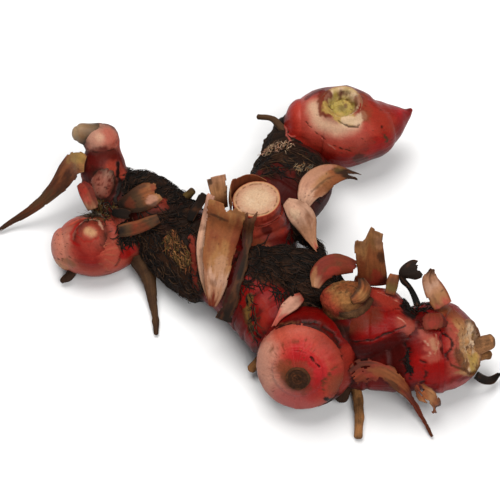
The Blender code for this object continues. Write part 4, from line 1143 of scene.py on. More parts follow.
# name: spine, face, cup (degrees that each half bends back from the face; negative bends to it),
# twist (degrees from base to tip), cut (share of the length reached across the tip, left to
# right), ragged (share of the half width), material slot
BLADES = {
    "scale_centre": dict(
        spine=[(-14.5, -23, 14, 1.6), (-13.5, -18.5, 18, 3.8), (-12.8, -13.5, 25, 5.4),
               (-11.5, -6.5, 32, 6.6), (-9.5, 0.5, 38, 7.5), (-8.5, 6.5, 43, 7.9)],
        cup=22, cut=(1, 0.99, 0.96, 0.95, 0.92), ragged=0.03, clearance=2.6,
        slot="scale_straw"),
    "scale_centre_edge": dict(
        spine=[(-16, -20, 15, 0.8), (-18, -14.5, 22, 1.5), (-19, -6, 29, 1.8),
               (-17.5, 0.5, 37, 1.8), (-15, 9, 45, 1.7)],
        cup=30, cut=(1, 0.98), ragged=0.03, clearance=1.2, slot="scale_pink"),
    "scale_centre_dark": dict(
        spine=[(-10, -26.5, 9, 3.4), (-6.4, -19, 18, 2.8), (-2.8, -10.5, 26, 2.3),
               (-1.2, -3.5, 31, 2.2), (0.5, 6, 37, 2.5)],
        cup=20, cut=(1, 0.98, 1), ragged=0.08, slot="scale_dark"),
    "scale_centre_side": dict(
        spine=[(-20.5, 6.5, 28.5, 1.6), (-19.8, 11, 32.5, 2.6), (-18.6, 15.2, 36.5, 2.2)],
        face=(-0.5, -0.4, 0.75), cup=35, cut=(0.9, 1, 0.95), ragged=0.08, slot="scale_black"),
    "scale_pink_strip": dict(
        spine=[(-11, 9, 35, 2.3), (-12.3, 12.6, 40.5, 3.4), (-13.2, 16.6, 46, 3.8)],
        cup=15, cut=(0.95, 1, 1), ragged=0.05, slot="scale_pink"),
    "scale_disc_wrap": dict(
        spine=[(-4.6, 15.2, 34, 12), (-4.4, 16.2, 41, 12.6), (-4.2, 17, 48, 11.4)],
        face=(-0.7, 0.7, 0.1), cup=68, cut=(0.45, 0.68, 0.72, 1, 0.55), ragged=0.03,
        slot="scale_pink"),
    "scale_upper_forked": dict(
        spine=[(21.5, 16.5, 25, 2.5), (23.5, 20, 30, 5), (27, 23, 33, 6), (32, 25, 35, 5),
               (37, 26, 34, 3.2), (41.5, 27.5, 31, 1.8), (45, 27.5, 29, 1.4)],
        cup=26, twist=20, cut=(1, 0.86, 0.97), ragged=0.06, slot="scale_pink"),
    "scale_spoon": dict(
        spine=[(14, 8.5, 40, 2), (18, 4.5, 40, 4.6), (21.5, 0.5, 38, 4.8), (23.5, -3, 33, 2.6),
               (25, -5.5, 31, 1.5), (26.5, -8, 29.8, 0.6)],
        cup=22, cut=(1,), ragged=0.04, clearance=1.1, slot="scale_pink"),
    "scale_crown_fold": dict(
        spine=[(25, -24.5, 30, 1.5), (26.5, -20.5, 33, 4), (30.5, -18.5, 36, 4.5),
               (35.5, -18.5, 37, 4), (40.8, -19.5, 37, 2.2)],
        cup=30, cut=(1,), ragged=0.04, slot="scale_red"),
    "scale_crown_tall": dict(
        spine=[(46.4, -23.4, 29.5, 6.4), (46.4, -21.8, 35.5, 6), (45.6, -19.5, 41.5, 5.6),
               (45, -16.5, 47, 5.5), (45, -15.5, 51, 5.5), (45.3, -13.5, 56, 5.3)],
        cup=14, cut=(0.76, 0.77, 0.79, 1, 0.97, 0.94, 0.9), ragged=0.04, slot="scale_straw"),
    "scale_crown_hook": dict(
        spine=[(37.6, -37.4, 42, 1.6), (40.2, -36.4, 42.4, 2.7), (42.5, -33.8, 42.8, 3.2),
               (43.2, -30.8, 43.2, 2.9), (41.8, -27.9, 43.4, 1.4)],
        face=(0.4, -0.45, 0.8), cup=35, cut=(1,), ragged=0.06, slot="scale_dark"),
    "scale_arm_small": dict(
        spine=[(20, -31, 34, 1.8), (18, -33, 35, 2.6), (14.5, -35.5, 34.5, 2.6),
               (11.5, -39, 33.5, 1.3), (8.5, -43, 31.5, 0.6)],
        cup=18, cut=(1,), ragged=0.05, slot="scale_pink"),
    "scale_mid_strip": dict(
        spine=[(53, -28, 31, 2), (54, -25.5, 34.5, 2.3), (55.5, -23, 38, 1.8)],
        cup=15, cut=(0.9, 1), ragged=0.06, slot="scale_dark"),
    "scale_black_curl": dict(
        spine=[(64, -32.5, 30, 1.4), (62, -28.5, 33, 1.1), (59.5, -26.5, 36.5, 1.1),
               (57, -25, 39, 1.5), (60, -24.5, 41, 3.4), (63, -23.5, 42, 3.8), (66, -24, 42, 2.4)],
        cup=18, cut=(1, 0.9, 1), ragged=0.05, slot="scale_black"),
    "scale_end_pale": dict(
        spine=[(73, -34.5, 33, 3.6), (71, -32, 36, 4), (68.5, -29, 40, 3.5), (67.5, -27, 43, 2.5),
               (68.5, -25.5, 45.5, 0.9)],
        cup=22, cut=(1,), ragged=0.06, slot="scale_pink"),
    "scale_end_base": dict(
        spine=[(69.2, -39.4, 36, 3.5), (69.3, -41.6, 36, 4.8), (69.1, -44.2, 35.5, 4.7),
               (68.7, -47.2, 34.3, 3.1)],
        cup=20, cut=(1, 0.9, 1), ragged=0.06, slot="scale_red"),
    "husk_strand": dict(
        spine=[(38.5, -56, 17, 4), (43, -54.5, 19.5, 5), (49.5, -55, 19.5, 4.3),
               (55.5, -57, 15, 3), (60.5, -60, 10, 2), (65.5, -66, 4.5, 1.1),
               (70, -74, 1.6, 0.7)],
        cup=24, cut=(1,), ragged=0.12, slot="scale_straw"),
    "husk_tuft": dict(
        spine=[(59.8, -57.5, 14, 2), (63, -59.5, 10.8, 3.4), (67.5, -62.3, 7, 4.6),
               (72.3, -64.3, 5, 3.6)],
        face=(0.3, -0.5, 0.8), cup=12, cut=(0.85, 1, 0.9, 1, 0.82), ragged=0.1,
        slot="scale_straw"),
    "scale_end_black": dict(
        spine=[(86.5, -51.5, 10, 1.6), (90.5, -52.5, 7.5, 1.8), (93.5, -52, 5.5, 1.7),
               (97.5, -48.5, 5, 0.7)],
        cup=15, twist=30, cut=(1,), ragged=0.05, slot="scale_black"),
    "leaf_long_dry": dict(
        spine=[(-64, 32.5, 30, 3.6), (-68, 34.5, 28, 5), (-72.5, 34.5, 26, 5.4),
               (-77.5, 31.5, 21, 4.4), (-84, 28.5, 14, 2.8), (-92, 25, 8, 2),
               (-100.5, 22, 3.5, 1.2), (-106.5, 18, 1.6, 0.7)],
        face=(-0.25, -0.45, 0.85), cup=20, twist=-15, cut=(1,), ragged=0.05, slot="scale_dark"),
    "scale_shoot_wrap": dict(
        spine=[(-60.5, 18, 20, 2.6), (-62, 21.5, 22.5, 3.2), (-64, 25, 24.5, 3.2),
               (-66, 27.5, 25.2, 1.8)],
        face=(-0.3, -0.5, 0.8), cup=30, cut=(1,), ragged=0.04, slot="scale_red"),
    "scale_neck_tan": dict(
        spine=[(-52.5, 13.5, 29, 2.4), (-47, 14, 31, 4.2), (-41, 16, 32.5, 5.2),
               (-36, 18, 33.5, 3.6)],
        cup=22, cut=(1, 0.95, 1), ragged=0.06, slot="scale_straw"),
    "scale_neck_brown": dict(
        spine=[(-36, 8.5, 28, 2), (-41, 5.5, 28.5, 2.6), (-47.5, 3.5, 28, 2.8), (-53, 3, 27, 2.2)],
        cup=18, cut=(1, 0.95, 1), ragged=0.06, slot="scale_dark"),
    "scale_neck_black": dict(
        spine=[(-55, 11, 29, 1.5), (-51.5, 9.8, 30, 2.2), (-47.5, 8.6, 30.5, 1.6)],
        cup=15, cut=(1,), ragged=0.08, slot="scale_black"),
}


def signed_distance(tree, point, face):
    """Distance from the skin, below zero inside it: from there, the way along face leads out."""
    distance = tree.find_nearest(Vector(point))[3]
    place, normal, _, _ = tree.ray_cast(Vector(point), Vector(face))
    return -distance if place is not None and normal.dot(Vector(face)) > 0 else distance


def lift_clear(grid, face, tree, clearance):
    """Moves the rows of a blade along its face until each point is clear of the rhizome."""
    rows = np.repeat(grid, 2, axis=0)[:-1]
    rows[1::2] = (grid[:-1] + grid[1:]) / 2
    needed = np.zeros(len(rows))
    for k, row in enumerate(rows):
        for point in np.concatenate([row, (row[:-1] + row[1:]) / 2]):
            for _ in range(LIFT_TRIES):
                short = clearance - signed_distance(tree, point + needed[k] * face, face)
                if short <= 0:
                    break
                needed[k] += 0.6 * short + LIFT_STEP * MM
    beside = np.pad(needed, 1)
    lifts = np.maximum(needed, np.maximum(beside[:-2], beside[2:]))[::2]
    padded = np.pad(lifts, 1, mode="edge")
    eased = np.maximum(lifts, (padded[:-2] + lifts + padded[2:]) / 3)
    return grid + eased[:, None, None] * face


def settle_base(grid, face, tree, clearance):
    """Brings the base of a blade down to the skin that it grew from."""
    middle = grid[0][len(grid[0]) // 2]
    gap = signed_distance(tree, middle, face) - clearance
    if gap <= 0:
        return grid
    place, _, _, below = tree.ray_cast(Vector(middle), Vector(-face))
    drop = max(0.0, below - clearance) if place is not None else gap
    share = np.clip(1 - np.arange(len(grid)) / (BASE_HOLD * len(grid)), 0, 1)
    return grid - (drop * share * share)[:, None, None] * face


def blade_grid(spine, face, cup, twist, cut, ragged, rng, columns, step):
    """Points of a blade's middle surface, from its base to its tip and from left to right."""
    length = smooth_rows(spine, [0])[1]
    rows = max(4, round(length / step) + 1)
    across = np.linspace(-1, 1, columns + 1)
    reach = np.interp(across, np.linspace(-1, 1, len(cut)), cut)
    edge = 1 + ragged * rng.uniform(-1, 1, (rows, 2))
    bend = math.radians(cup)
    grid = np.zeros((rows, columns + 1, 3))
    for j, u in enumerate(across):
        at = np.linspace(0, 1, rows) * reach[j]
        line, _ = smooth_rows(spine, at)
        tangents = unit(np.gradient(line[:, :3], axis=0))
        sideways = unit(np.cross(tangents, face))
        normals = np.cross(sideways, tangents)
        turn = np.radians(twist) * at
        turned_side = (sideways * np.cos(turn)[:, None] + normals * np.sin(turn)[:, None])
        turned_normal = np.cross(turned_side, tangents)
        half = line[:, 3] * np.where(u < 0, edge[:, 0], edge[:, 1])
        out = np.sin(u * bend) / bend * half
        back = (np.cos(u * bend) - 1) / abs(bend) * half * np.sign(bend)
        grid[:, j] = line[:, :3] + turned_side * out[:, None] + turned_normal * back[:, None]
    return grid


def placed_grid(tree, rng, spine, slot, cut, cup=20, twist=0, ragged=0.05, face=TOWARDS_VIEWER,
                clearance=BLADE_CLEARANCE):
    """The blade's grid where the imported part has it, in the tables' millimetres."""
    face = unit(np.array(face))
    grid = blade_grid(spine, face, cup, twist, cut, ragged, rng, BLADE_COLUMNS, BLADE_STEP) * MM
    grid += SHIFT * MM
    grid = settle_base(grid, face, tree, clearance * MM)
    grid = lift_clear(grid, face, tree, clearance * MM)
    grid[:, :, 2] = np.maximum(grid[:, :, 2], 0.5 * BLADE_THICKNESS * MM)
    return grid / MM - SHIFT


def finer(grid, count):
    """The same surface with `count` rows, smooth between the given ones."""
    ends = np.concatenate([2 * grid[:1] - grid[1:2], grid, 2 * grid[-1:] - grid[-2:-1]])
    at = np.linspace(0, len(grid) - 1, count)
    k = np.minimum(at.astype(int), len(grid) - 2)
    t = (at - k).reshape(-1, *([1] * (grid.ndim - 1)))
    return spline(*(ends[k + j] for j in range(4)), t)


# name: paints from base to tip and on the back; marks as (across, along, half size across, half
# size along, paint, strength); how strong the streaks are, how deep the waves, the tears at the
# edges and at the tip, the holes, the edge's paint and the roughness
BLADE_LOOKS = {
    "scale_centre": dict(
        tones=["russet", "fawn", "blush", "tan", "oak", "sienna", "sienna", "oak"], back="brown",
        streak=0.08,
        marks=[(0.75, 0.7, 0.25, 0.25, "russet", 0.6), (-0.75, 0.55, 0.25, 0.2, "sienna", 0.6),
               (0.2, 0.42, 0.4, 0.1, "blush", 0.35), (-0.5, 0.62, 0.3, 0.12, "russet", 0.45),
               (-0.4, 0.86, 0.5, 0.015, "umber", 0.7), (0.5, 0.97, 0.5, 0.03, "brown", 0.5),
               (-0.85, 0.3, 0.15, 0.25, "sienna", 0.6)]),
    "scale_centre_edge": dict(tones=["tan", "blush", "blush", "pale"], back="tan", edge="oak"),
    "scale_centre_dark": dict(
        tones=["dark", "umber", "dark", "umber", "brown"], back="dark", tear=0.16, wave=0.6,
        marks=[(0.6, 0.6, 0.2, 0.3, "bark", 0.7), (-0.6, 0.5, 0.3, 0.4, "maroon", 0.8)]),
    "scale_centre_side": dict(tones=["black", "dark", "dark"], back="black", rough=0.9),
    "scale_pink_strip": dict(
        tones=["sienna", "tan", "fawn"], back="tan", marks=[(-0.7, 0.9, 0.3, 0.12, "dark", 0.8)]),
    "scale_disc_wrap": dict(
        tones=["rosy", "oak", "sienna", "tan"], back="rust",
        marks=[(-0.7, 0.5, 0.3, 0.3, "rosy", 0.8), (0.1, 0.8, 0.3, 0.2, "russet", 0.6)]),
    "scale_upper_forked": dict(
        tones=["blush", "blush", "fawn", "tan", "sienna", "umber", "umber"], back="tan",
        streak=0.14,
        marks=[(-0.6, 0.4, 0.5, 0.25, "pale", 0.45), (0.65, 0.45, 0.3, 0.3, "sienna", 0.7),
               (0.25, 0.45, 0.06, 0.3, "bark", 0.6), (-0.5, 0.72, 0.4, 0.06, "olive", 0.5)]),
    "scale_spoon": dict(
        tones=["blush", "blush", "blush", "fawn", "fawn", "rosy"], back="tan", streak=0.12,
        marks=[(0.3, 0.25, 0.4, 0.1, "cream", 0.5), (-0.4, 0.45, 0.4, 0.08, "sienna", 0.5)]),
    "scale_crown_fold": dict(
        tones=["fawn", "plum", "plum", "russet", "plum"], back="wine",
        marks=[(-0.6, 0.15, 0.3, 0.15, "tan", 0.7), (0.4, 0.5, 0.3, 0.2, "brick", 0.6)]),
    "scale_crown_tall": dict(
        tones=["plum", "sienna", "sienna", "oak", "tan"], back="brown", streak=0.2,
        marks=[(0.7, 0.75, 0.3, 0.12, "fawn", 0.5), (0.75, 0.5, 0.25, 0.12, "dark", 0.6),
               (-0.6, 0.35, 0.3, 0.3, "russet", 0.5), (0.3, 0.15, 0.3, 0.15, "brick", 0.7)]),
    "scale_crown_hook": dict(
        tones=["brown", "sienna", "oak", "sienna", "brown", "umber"], back="dark", streak=0.5,
        marks=[(-0.8, 0.5, 0.25, 0.5, "dark", 0.7), (0.8, 0.5, 0.25, 0.5, "umber", 0.6)]),
    "scale_arm_small": dict(
        tones=["rosy", "pale", "pale", "pink", "rosy"], back="pink", streak=0.16, edge="plum"),
    "scale_mid_strip": dict(tones=["russet", "olive", "brown", "sienna"], back="umber"),
    "scale_black_curl": dict(tones=["black", "black", "dark", "dark"], back="black"),
    "scale_end_pale": dict(
        tones=["rosy", "tan", "fawn", "blush", "fawn", "umber"], back="tan", streak=0.08,
        edge="russet",
        marks=[(0.9, 0.3, 0.12, 0.4, "russet", 0.7), (-0.9, 0.4, 0.1, 0.4, "sienna", 0.6)]),
    "scale_end_base": dict(
        tones=["russet", "plum", "plum", "russet"], back="wine", tear=0.22, tip=0.2, edge="dark",
        marks=[(0.3, 0.6, 0.3, 0.2, "brick", 0.5), (-0.8, 0.5, 0.2, 0.5, "maroon", 0.7)]),
    "husk_strand": dict(
        tones=["russet", "plum", "sienna", "russet", "russet", "chestnut"], back="russet",
        tear=0.3, holes=0.4, streak=0.5, wave=0.9, edge="dark",
        marks=[(0.0, 0.25, 0.5, 0.1, "sienna", 0.6), (0.6, 0.4, 0.4, 0.1, "dark", 0.6),
               (-0.6, 0.1, 0.3, 0.1, "dark", 0.5)]),
    "husk_tuft": dict(
        tones=["russet", "sienna", "tan", "sienna", "dark"], back="russet", tear=0.35, holes=0.35,
        tip=0.3, streak=0.5, wave=1.0, edge="dark"),
    "scale_end_black": dict(tones=["black", "dark", "black"], back="black", rough=0.9),
    "leaf_long_dry": dict(
        tones=["oak", "sienna", "chestnut", "bark", "chestnut", "umber", "umber"], back="umber",
        streak=0.25,
        marks=[(0.5, 0.08, 0.5, 0.08, "yellow", 0.5), (-0.6, 0.3, 0.4, 0.1, "umber", 0.6)]),
    "scale_shoot_wrap": dict(
        tones=["fawn", "rosy", "brick", "plum"], back="wine", edge="wine",
        marks=[(0.7, 0.5, 0.3, 0.5, "wine", 0.7)]),
    "scale_neck_tan": dict(
        tones=["dark", "umber", "bark", "sienna", "tan"], back="brown", streak=0.2,
        marks=[(0.5, 0.8, 0.4, 0.12, "pale", 0.6), (-0.5, 0.93, 0.4, 0.08, "plum", 0.7),
               (0.0, 0.3, 0.5, 0.12, "russet", 0.5), (0.8, 0.5, 0.2, 0.4, "dark", 0.7),
               (-0.8, 0.5, 0.2, 0.4, "umber", 0.7)]),
    "scale_neck_brown": dict(
        tones=["dark", "bark", "russet", "bark", "dark"], back="umber", streak=0.25,
        marks=[(0.8, 0.5, 0.2, 0.5, "sienna", 0.5)]),
    "scale_neck_black": dict(tones=["black", "dark"], back="black", rough=0.9),
}


def blade_paint(u, v, flat, veins, look, seed):
    """The colours of a dry scale's front: tones along it, veins, blots, dark edges and marks."""
    tones = np.array([paint(tone) for tone in look["tones"]])
    where = np.clip(v + 0.12 * fbm(flat / (1, 3, 1), 2, 3, seed + 3), 0, 1) * (len(tones) - 1)
    low = np.minimum(where.astype(int), len(tones) - 2)
    mix = ease(where - low)[..., None]
    colour = tones[low] * (1 - mix) + tones[low + 1] * mix
    colour *= (1 + look.get("streak", 0.2) * veins)[..., None]
    blots = ease(2.2 * fbm(flat / (1, 2, 1), 2.4, 3, seed + 4) - 0.5)
    edges = ease((np.abs(u) - 0.86) / 0.14) * ease(0.8 + fbm(flat, 2, 2, seed + 5))
    spots = ease((noise(flat, 0.7, seed + 6) - 0.72) * 6)
    layers = [(0.5 * blots, "brown"), (0.55 * edges, look.get("edge", "brown")),
              (0.7 * spots, "dark")]
    for across, along, half_u, half_v, tone, strength in look.get("marks", ()):
        off = np.sqrt(((u - across) / half_u) ** 2 + ((v - along) / half_v) ** 2)
        ragged = 1 - off + 0.35 * fbm(flat, 1.6, 3, seed + 7)
        layers.append((strength * ease(ragged / 0.5 + 0.5), tone))
    for mask, tone in layers:
        colour += (paint(tone) - colour) * mask[..., None]
    return colour


def kept_cells(u, v, flat, look, seed):
    """Cells of the sheet that are there; the edges and the tip are torn."""
    across = (u[:-1, :-1] + u[1:, 1:]) / 2
    along = (v[:-1, :-1] + v[1:, 1:]) / 2
    cells = (flat[:-1, :-1] + flat[1:, 1:]) / 2
    tear = look.get("tear", 0.05)
    beside = cells * (0, 1, 1) + np.sign(across)[..., None] * (9, 0, 0)  # one line for an edge
    notches = tear * np.clip(0.3 + 1.6 * fbm(beside, 5, 3, seed + 8), 0, 2)
    splits = np.clip(noise(beside, 3, seed + 11) - 0.55, 0, 1) * 3 * tear
    ends = fbm(cells * (1, 0, 1), 3.5, 3, seed + 9)
    tip = look.get("tip", 0.04) * np.clip(0.4 + 1.6 * ends, 0, 2)
    kept = (np.abs(across) < 1 - (notches + splits)) & (along < 1 - tip)
    if "holes" in look:
        kept &= fbm(cells / (1, 2, 1), 1.5, 2, seed + 10) > -(look["holes"] + 0.6 * along)
    return kept


def blade_piece(name, tree, rng, seed):
    """One dry scale: veined, uneven, thin at its edges and torn along them."""
    shape, look = BLADES[name], BLADE_LOOKS[name]
    coarse = placed_grid(tree, rng, **shape)
    length = smooth_rows(shape["spine"], [0])[1]
    wide = 2 * max(row[3] for row in shape["spine"])
    rows = max(12, round(length / BLADE_SPACING))
    columns = max(10, round(wide / BLADE_SPACING))
    grid = finer(finer(coarse, rows).transpose(1, 0, 2), columns).transpose(1, 0, 2)
    u = np.repeat(np.linspace(-1, 1, columns)[None], rows, 0)
    v = np.repeat(np.linspace(0, 1, rows)[:, None], columns, 1)
    normals = unit(np.cross(np.gradient(grid, axis=1), np.gradient(grid, axis=0)))
    if (normals * np.array(shape.get("face", TOWARDS_VIEWER))).sum() < 0:
        normals = -normals
    flat = np.stack([u * wide / 2, v * length, np.full_like(u, seed)], -1)
    veins = noise(flat / (0.55, 7, 1), 1, seed) + 0.5 * noise(flat / (0.3, 4, 1), 1, seed + 1)
    waves = look.get("wave", 0.35) * v * fbm(flat, 6, 2, seed + 2) + 0.06 * veins
    middle = grid + normals * waves[..., None]
    thickness = BLADE_EDGE + (BLADE_MIDDLE - BLADE_EDGE) * (1 - u**4) * (1 - v**6)
    offset = normals * (0.5 * thickness)[..., None]
    kept = kept_cells(u, v, flat, look, seed)
    points, faces = closed_sheet(middle + offset, middle - offset, kept)
    points[:, 2] = np.maximum(points[:, 2], LEAST_HEIGHT)
    front = blade_paint(u, v, flat, veins, look, seed)
    back = paint(look["back"]) * (1 + 0.25 * veins)[..., None]
    colours = np.concatenate([front.reshape(-1, 3), back.reshape(-1, 3)])
    rough = np.full(len(points), look.get("rough", 0.68))
    obj = build_mesh("dry_" + name, *compact(points, faces, colours, rough), SCALE)
    finish_piece(obj, name)


def closed_sheet(front, back, kept):
    """A closed body between two grids, with walls along the free edges of the kept cells."""
    rows, columns = front.shape[:2]
    index = np.arange(rows * columns).reshape(rows, columns)
    behind = rows * columns
    a, b, c, d = index[:-1, :-1], index[:-1, 1:], index[1:, 1:], index[1:, :-1]
    faces = [np.stack([a, b, c, d], -1)[kept], np.stack([d, c, b, a], -1)[kept] + behind]
    padded = np.pad(kept, 1)
    for beside, m, n in ((padded[:-2, 1:-1], a, b), (padded[1:-1, 2:], b, c),
                         (padded[2:, 1:-1], c, d), (padded[1:-1, :-2], d, a)):
        free = kept & ~beside
        m, n = m[free], n[free]
        faces.append(np.stack([n, m, m + behind, n + behind], -1))
    points = np.concatenate([front.reshape(-1, 3), back.reshape(-1, 3)])
    return points, np.concatenate(faces)


# Fibre mats. name: lobes that carry it, a line on them and how far from it the strips start,
# the way they run, how many, their length and half width, their paints, and how much they
# spread, stand off the skin and flare up at the tip
FIBRES = {
    "fibre_crown": dict(
        lobes="crown_mat",
        at=[(0, -13, 32), (8, -12, 34), (16, -13, 35), (22, -18, 34), (28, -24, 31)], within=13,
        flow=(1, -0.45, 0), count=420, length=10, width=0.22,
        tones=("black", "black", "dark", "dark", "umber", "umber"), spread=0.3, lift=0.25,
        flare=0.1),
    "fibre_trunk": dict(
        lobes="trunk", at=[(-1, -21, 33), (6, -21, 33), (13, -26, 32)], within=5,
        flow=(0.5, -1, 0), count=110, length=7, width=0.22, tones=("black", "dark", "umber"),
        spread=0.5),
    "fibre_trunk_low": dict(
        lobes="trunk", at=[(0, -29, 31), (1, -36, 28), (2, -42, 24)], within=2.2,
        flow=(0.1, -1, -0.4), count=30, length=6, width=0.2, tones=("black", "dark", "bark"),
        spread=0.3, flare=0.1),
    "fibre_back": dict(
        lobes="back_mat",
        at=[(-50, 26, 31), (-43, 28, 31), (-36, 24, 31), (-28, 16, 28)], within=11,
        flow=(0.8, 0.5, 0.3), count=300, length=6, width=0.22,
        tones=("black", "black", "dark", "umber"), spread=0.6, flare=0.6, lift=0.3),
    "fibre_neck": dict(
        lobes="neck_mat trunk", at=[(-46, 2, 20), (-38, -4, 21), (-31, -11, 21), (-26, -15, 20)],
        within=9, flow=(0.5, -0.8, -0.2), count=260, length=7, width=0.22,
        tones=("black", "dark", "umber", "bark"), spread=0.6, flare=0.35, lift=0.3),
    "fibre_neck_top": dict(
        lobes="trunk side_bud", at=[(-41, 7, 31), (-33, 4, 31), (-26, 5, 32)], within=8,
        flow=(0.7, -0.6, 0), count=150, length=7, width=0.22,
        tones=("black", "black", "dark", "umber"), spread=0.6, flare=0.35, lift=0.3),
    "fibre_neck_tan": dict(
        lobes="trunk", at=[(-31, -2, 30), (-29, -6, 30), (-27, -11, 29)], within=4,
        flow=(0.3, -1, -0.2), count=190, length=5, width=0.2,
        tones=("olive", "sienna", "olive", "bark", "umber", "oak"), spread=0.25, lift=0.5,
        flare=0.2),
    "fibre_arm": dict(
        lobes="upper_arm upper_neck",
        at=[(3, 35, 26), (9, 37, 30), (17, 34, 33), (25, 29, 31), (28, 24, 32)], within=8.5,
        flow=(1, -0.35, 0), count=170, length=8, width=0.2,
        tones=("black", "black", "dark", "umber", "bark"), spread=0.35, lift=0.2, flare=0.1),
    "fibre_arm_pale": dict(
        lobes="upper_arm upper_neck", at=[(8, 43, 26), (13, 41, 30)], within=3.4,
        flow=(0.6, -0.8, 0), count=80, length=3.8, width=0.18,
        tones=("fawn", "putty", "blush", "cream"), spread=1.6, flare=0.9, lift=0.6),
    "fibre_arm_spot": dict(
        lobes="upper_arm", at=[(19, 30, 33), (24, 30, 32)], within=1.8,
        flow=(1, -0.4, 0), count=50, length=2.4, width=0.13, tones=("putty", "tan", "grey"),
        spread=1.4, flare=0.5, lift=0.5),
    "fibre_bud": dict(
        lobes="left_shoot left_bulb", at=[(-64, 14, 24), (-58, 14, 24)], within=4,
        flow=(-0.4, 0.3, 0.9), count=170, length=5, width=0.2,
        tones=("grey", "olive", "black", "umber"), spread=0.9, flare=1.4, lift=0.3),
    "fibre_right": dict(
        lobes="right_lobe mid_upper", at=[(62, -30.5, 30), (67, -32, 34)], within=4,
        flow=(0.4, -0.9, 0), count=120, length=6, width=0.34, tones=("black", "dark"), spread=0.8),
    "fibre_seam": dict(
        lobes="right_lobe", at=[(61, -46, 31), (59, -52, 29), (60, -57, 26)], within=1.2,
        flow=(0.1, -1, -0.4), count=40, length=3.5, width=0.25, tones=("black", "dark"),
        spread=0.35, flare=0.15),
    "fibre_left": dict(
        lobes="left_bulb trunk", at=[(-50.5, 6, 26), (-49, 3, 23)], within=3.2,
        flow=(0.6, -0.6, -0.3), count=110, length=5, width=0.34, tones=("black", "dark", "umber"),
        spread=0.8, flare=0.6),
    "fibre_loop": dict(
        lobes="crown_loop crown_mat disc_stem",
        at=[(17, 0, 27), (21, 0, 28), (25, -5, 31), (27, -11, 31)], within=4.5,
        flow=(0.6, -0.6, 0), count=150, length=6, width=0.24,
        tones=("black", "dark", "umber"), spread=0.7, flare=0.6, lift=0.3),
}


def fibre_mat(name, tree, seeds, rng, flow, count, length, width, tones, lift=0.25, flare=0.3,
              spread=0.5):
    """Many thin tapered strips that start at the seed points and follow the skin."""
    points, faces, colours = [], [], []
    choice = rng.choice(len(seeds), count)
    palette = np.array([paint(tone) for tone in tones])
    for n in range(count):
        place = Vector(seeds[choice[n]])
        reach = length * rng.uniform(0.5, 1.3)
        half = width * rng.uniform(0.5, 1.4)
        turn = rng.normal(0, spread)
        curl = rng.normal(0, 0.25)
        rise = rng.uniform(0, 1) ** 2 * flare * reach * 0.3
        colour = palette[rng.integers(len(palette))] * rng.uniform(0.7, 1.3)
        start = len(points)
        for k in range(FIBRE_STEPS):
            spot, normal, _, _ = tree.find_nearest(place)
            across = normal.cross(Vector(flow))
            if across.length < 1e-6:
                across = normal.orthogonal()
            across.normalize()
            ahead = across.cross(normal)
            angle = turn + curl * k
            step = ahead * math.cos(angle) + across * math.sin(angle)
            side = normal.cross(step).normalized()
            share = k / (FIBRE_STEPS - 1)
            size = half * (1 - share**2) + FIBRE_TIP
            height = lift * rng.uniform(0.4, 1.6) * min(1, 3 * share) + rise * share**2
            centre = spot + normal * height
            points += [centre - side * size, centre + side * size,
                       centre + normal * min(0.6 * size, FIBRE_RIDGE)]
            colours += [colour * (1.1 - 0.5 * share)] * 3
            place = spot + step * (reach / FIBRE_STEPS)
        for corner in range(start, len(points) - 3, 3):
            for i, j in ((0, 1), (1, 2), (2, 0)):
                faces.append((corner + i, corner + j, corner + 3 + j, corner + 3 + i))
    points = np.array([tuple(point) for point in points])
    points[:, 2] = np.maximum(points[:, 2], FIBRE_HEIGHT)
    rough = np.full(len(points), FIBRE_ROUGHNESS)
    obj = build_mesh(name, points, faces, np.array(colours), rough, FIBRE)
    finish_piece(obj, "rhizome")


def build_fibres(skins):
    """The fibre mats, each from seed points near its line on the skins it grows on."""
    tree = skin_tree(skins)
    rng = np.random.default_rng(FIBRE_SEED)
    for name, mat in FIBRES.items():
        values = dict(mat)
        lobes, at, within = values.pop("lobes"), values.pop("at"), values.pop("within")
        points = np.concatenate([skins[lobe][0] for lobe in lobes.split()])
        seeds = points[path_distance(points, at) < within]
        fibre_mat(name, tree, seeds, rng, **values)


def seen_points(tree, pixels):
    """The points, in mm, that the photo's camera sees at some of its pixels."""
    step = CAMERA_SENSOR / CAMERA_LENS / PHOTO_SIZE
    seen = []
    for x, y in pixels:
        ray = (step * (x - PHOTO_SIZE / 2) * CAMERA_RIGHT + step * (PHOTO_SIZE / 2 - y) * CAMERA_UP
               - CAMERA_BACK)
        spot = tree.ray_cast(Vector(CAMERA_PLACE), Vector(ray))[0]
        if spot is not None:
            seen.append(spot)
    return seen


def placed_marks():
    """The marks with the points that their pixels show on the lobes' plain forms."""
    plain = {}
    for name, shape in LOBES.items():
        grid = loft(spacing=MARK_STEP, **shape)[0]
        plain[name] = grid.reshape(-1, 3), tube_faces(*grid.shape[:2])
    tree = skin_tree(plain)
    return [(kind, lobes, seen_points(tree, pixels), values)
            for kind, lobes, pixels, values in MARKS]


def build_rhizome():
    """The lobes' skins and the roots; the points and faces of the skins by lobe."""
    samples = {name: Samples(**shape) for name, shape in LOBES.items()}
    marks = placed_marks()
    skins = {name: skin_piece(name, samples, marks) for name in LOBES}
    for name, path in ROOTS.items():
        root_piece(name, path)
    return skins


def skin_tree(skins):
    """All the skins as one tree to find the nearest point in."""
    points, faces, start = [], [], 0
    for placed, quads in skins.values():
        points.append(placed)
        faces.append(quads + start)
        start += len(placed)
    return BVHTree.FromPolygons(np.concatenate(points).tolist(), np.concatenate(faces).tolist())


def packed_tree():
    """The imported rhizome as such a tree, in metres, for the scales' places."""
    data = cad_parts["rhizome"].data
    points = [v.co.copy() for v in data.vertices]
    return BVHTree.FromPolygons(points, [tuple(p.vertices) for p in data.polygons])


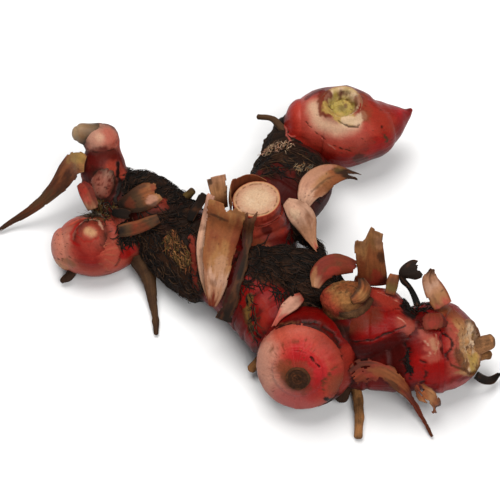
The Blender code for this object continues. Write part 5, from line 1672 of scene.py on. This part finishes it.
def build_blades():
    """The dry scales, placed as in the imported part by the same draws."""
    tree = packed_tree()
    rng = np.random.default_rng(BLADE_SEED)
    for k, name in enumerate(BLADES):
        blade_piece(name, tree, rng, 100 * (k + 1))


def build_floor():
    """The pale floor that the rhizome lies on."""
    half = FLOOR_HALF
    data = bpy.data.meshes.new("floor")
    data.from_pydata([(-half, -half, 0), (half, -half, 0), (half, half, 0), (-half, half, 0)],
                     [], [(0, 1, 2, 3)])
    floor = bpy.data.objects.new("floor", data)
    bpy.context.scene.collection.objects.link(floor)
    tint = data.color_attributes.new("tint", "FLOAT_COLOR", "POINT")
    tint.data.foreach_set("color", FLOOR_TINT * 4)
    wet = data.attributes.new("rough", "FLOAT", "POINT")
    wet.data.foreach_set("value", [FLOOR_ROUGHNESS] * 4)
    data.materials.append(living_material("floor", variation=0.02, grain=40, bump=0.02, fine=8))


def place_lamp(name, lamp, power, place):
    """A lamp that points at the middle of the floor."""
    lamp.energy, lamp.color = power, LAMP_COLOUR
    obj = bpy.data.objects.new(name, lamp)
    obj.location = place
    obj.rotation_euler = (-Vector(place)).to_track_quat("-Z", "Y").to_euler()
    bpy.context.scene.collection.objects.link(obj)


def build_lights():
    """Even light all round, a large lamp above and a soft sun from the front."""
    world = bpy.data.worlds.new("studio")
    bpy.context.scene.world = world
    world.use_nodes = True
    background = world.node_tree.nodes["Background"]
    background.inputs["Color"].default_value = WORLD_COLOUR
    background.inputs["Strength"].default_value = WORLD_LIGHT
    top = bpy.data.lights.new("lamp_top", "AREA")
    top.size = TOP_SIZE
    place_lamp("lamp_top", top, TOP_POWER, TOP_PLACE)
    front = bpy.data.lights.new("lamp_front", "SUN")
    front.angle = FRONT_SPREAD
    place_lamp("lamp_front", front, FRONT_POWER, FRONT_PLACE)


def build_camera():
    """The camera of the photo."""
    camera = bpy.data.cameras.new("camera")
    camera.lens, camera.sensor_width = CAMERA_LENS, CAMERA_SENSOR
    obj = bpy.data.objects.new("camera", camera)
    obj.location = Vector(CAMERA_PLACE + SHIFT) * MM
    obj.rotation_euler = Vector(-CAMERA_BACK).to_track_quat("-Z", "Y").to_euler()
    bpy.context.scene.collection.objects.link(obj)
    bpy.context.scene.camera = obj
    bpy.context.scene.view_settings.view_transform = "Standard"


build_fibres(build_rhizome())
build_blades()
build_floor()
build_lights()
build_camera()
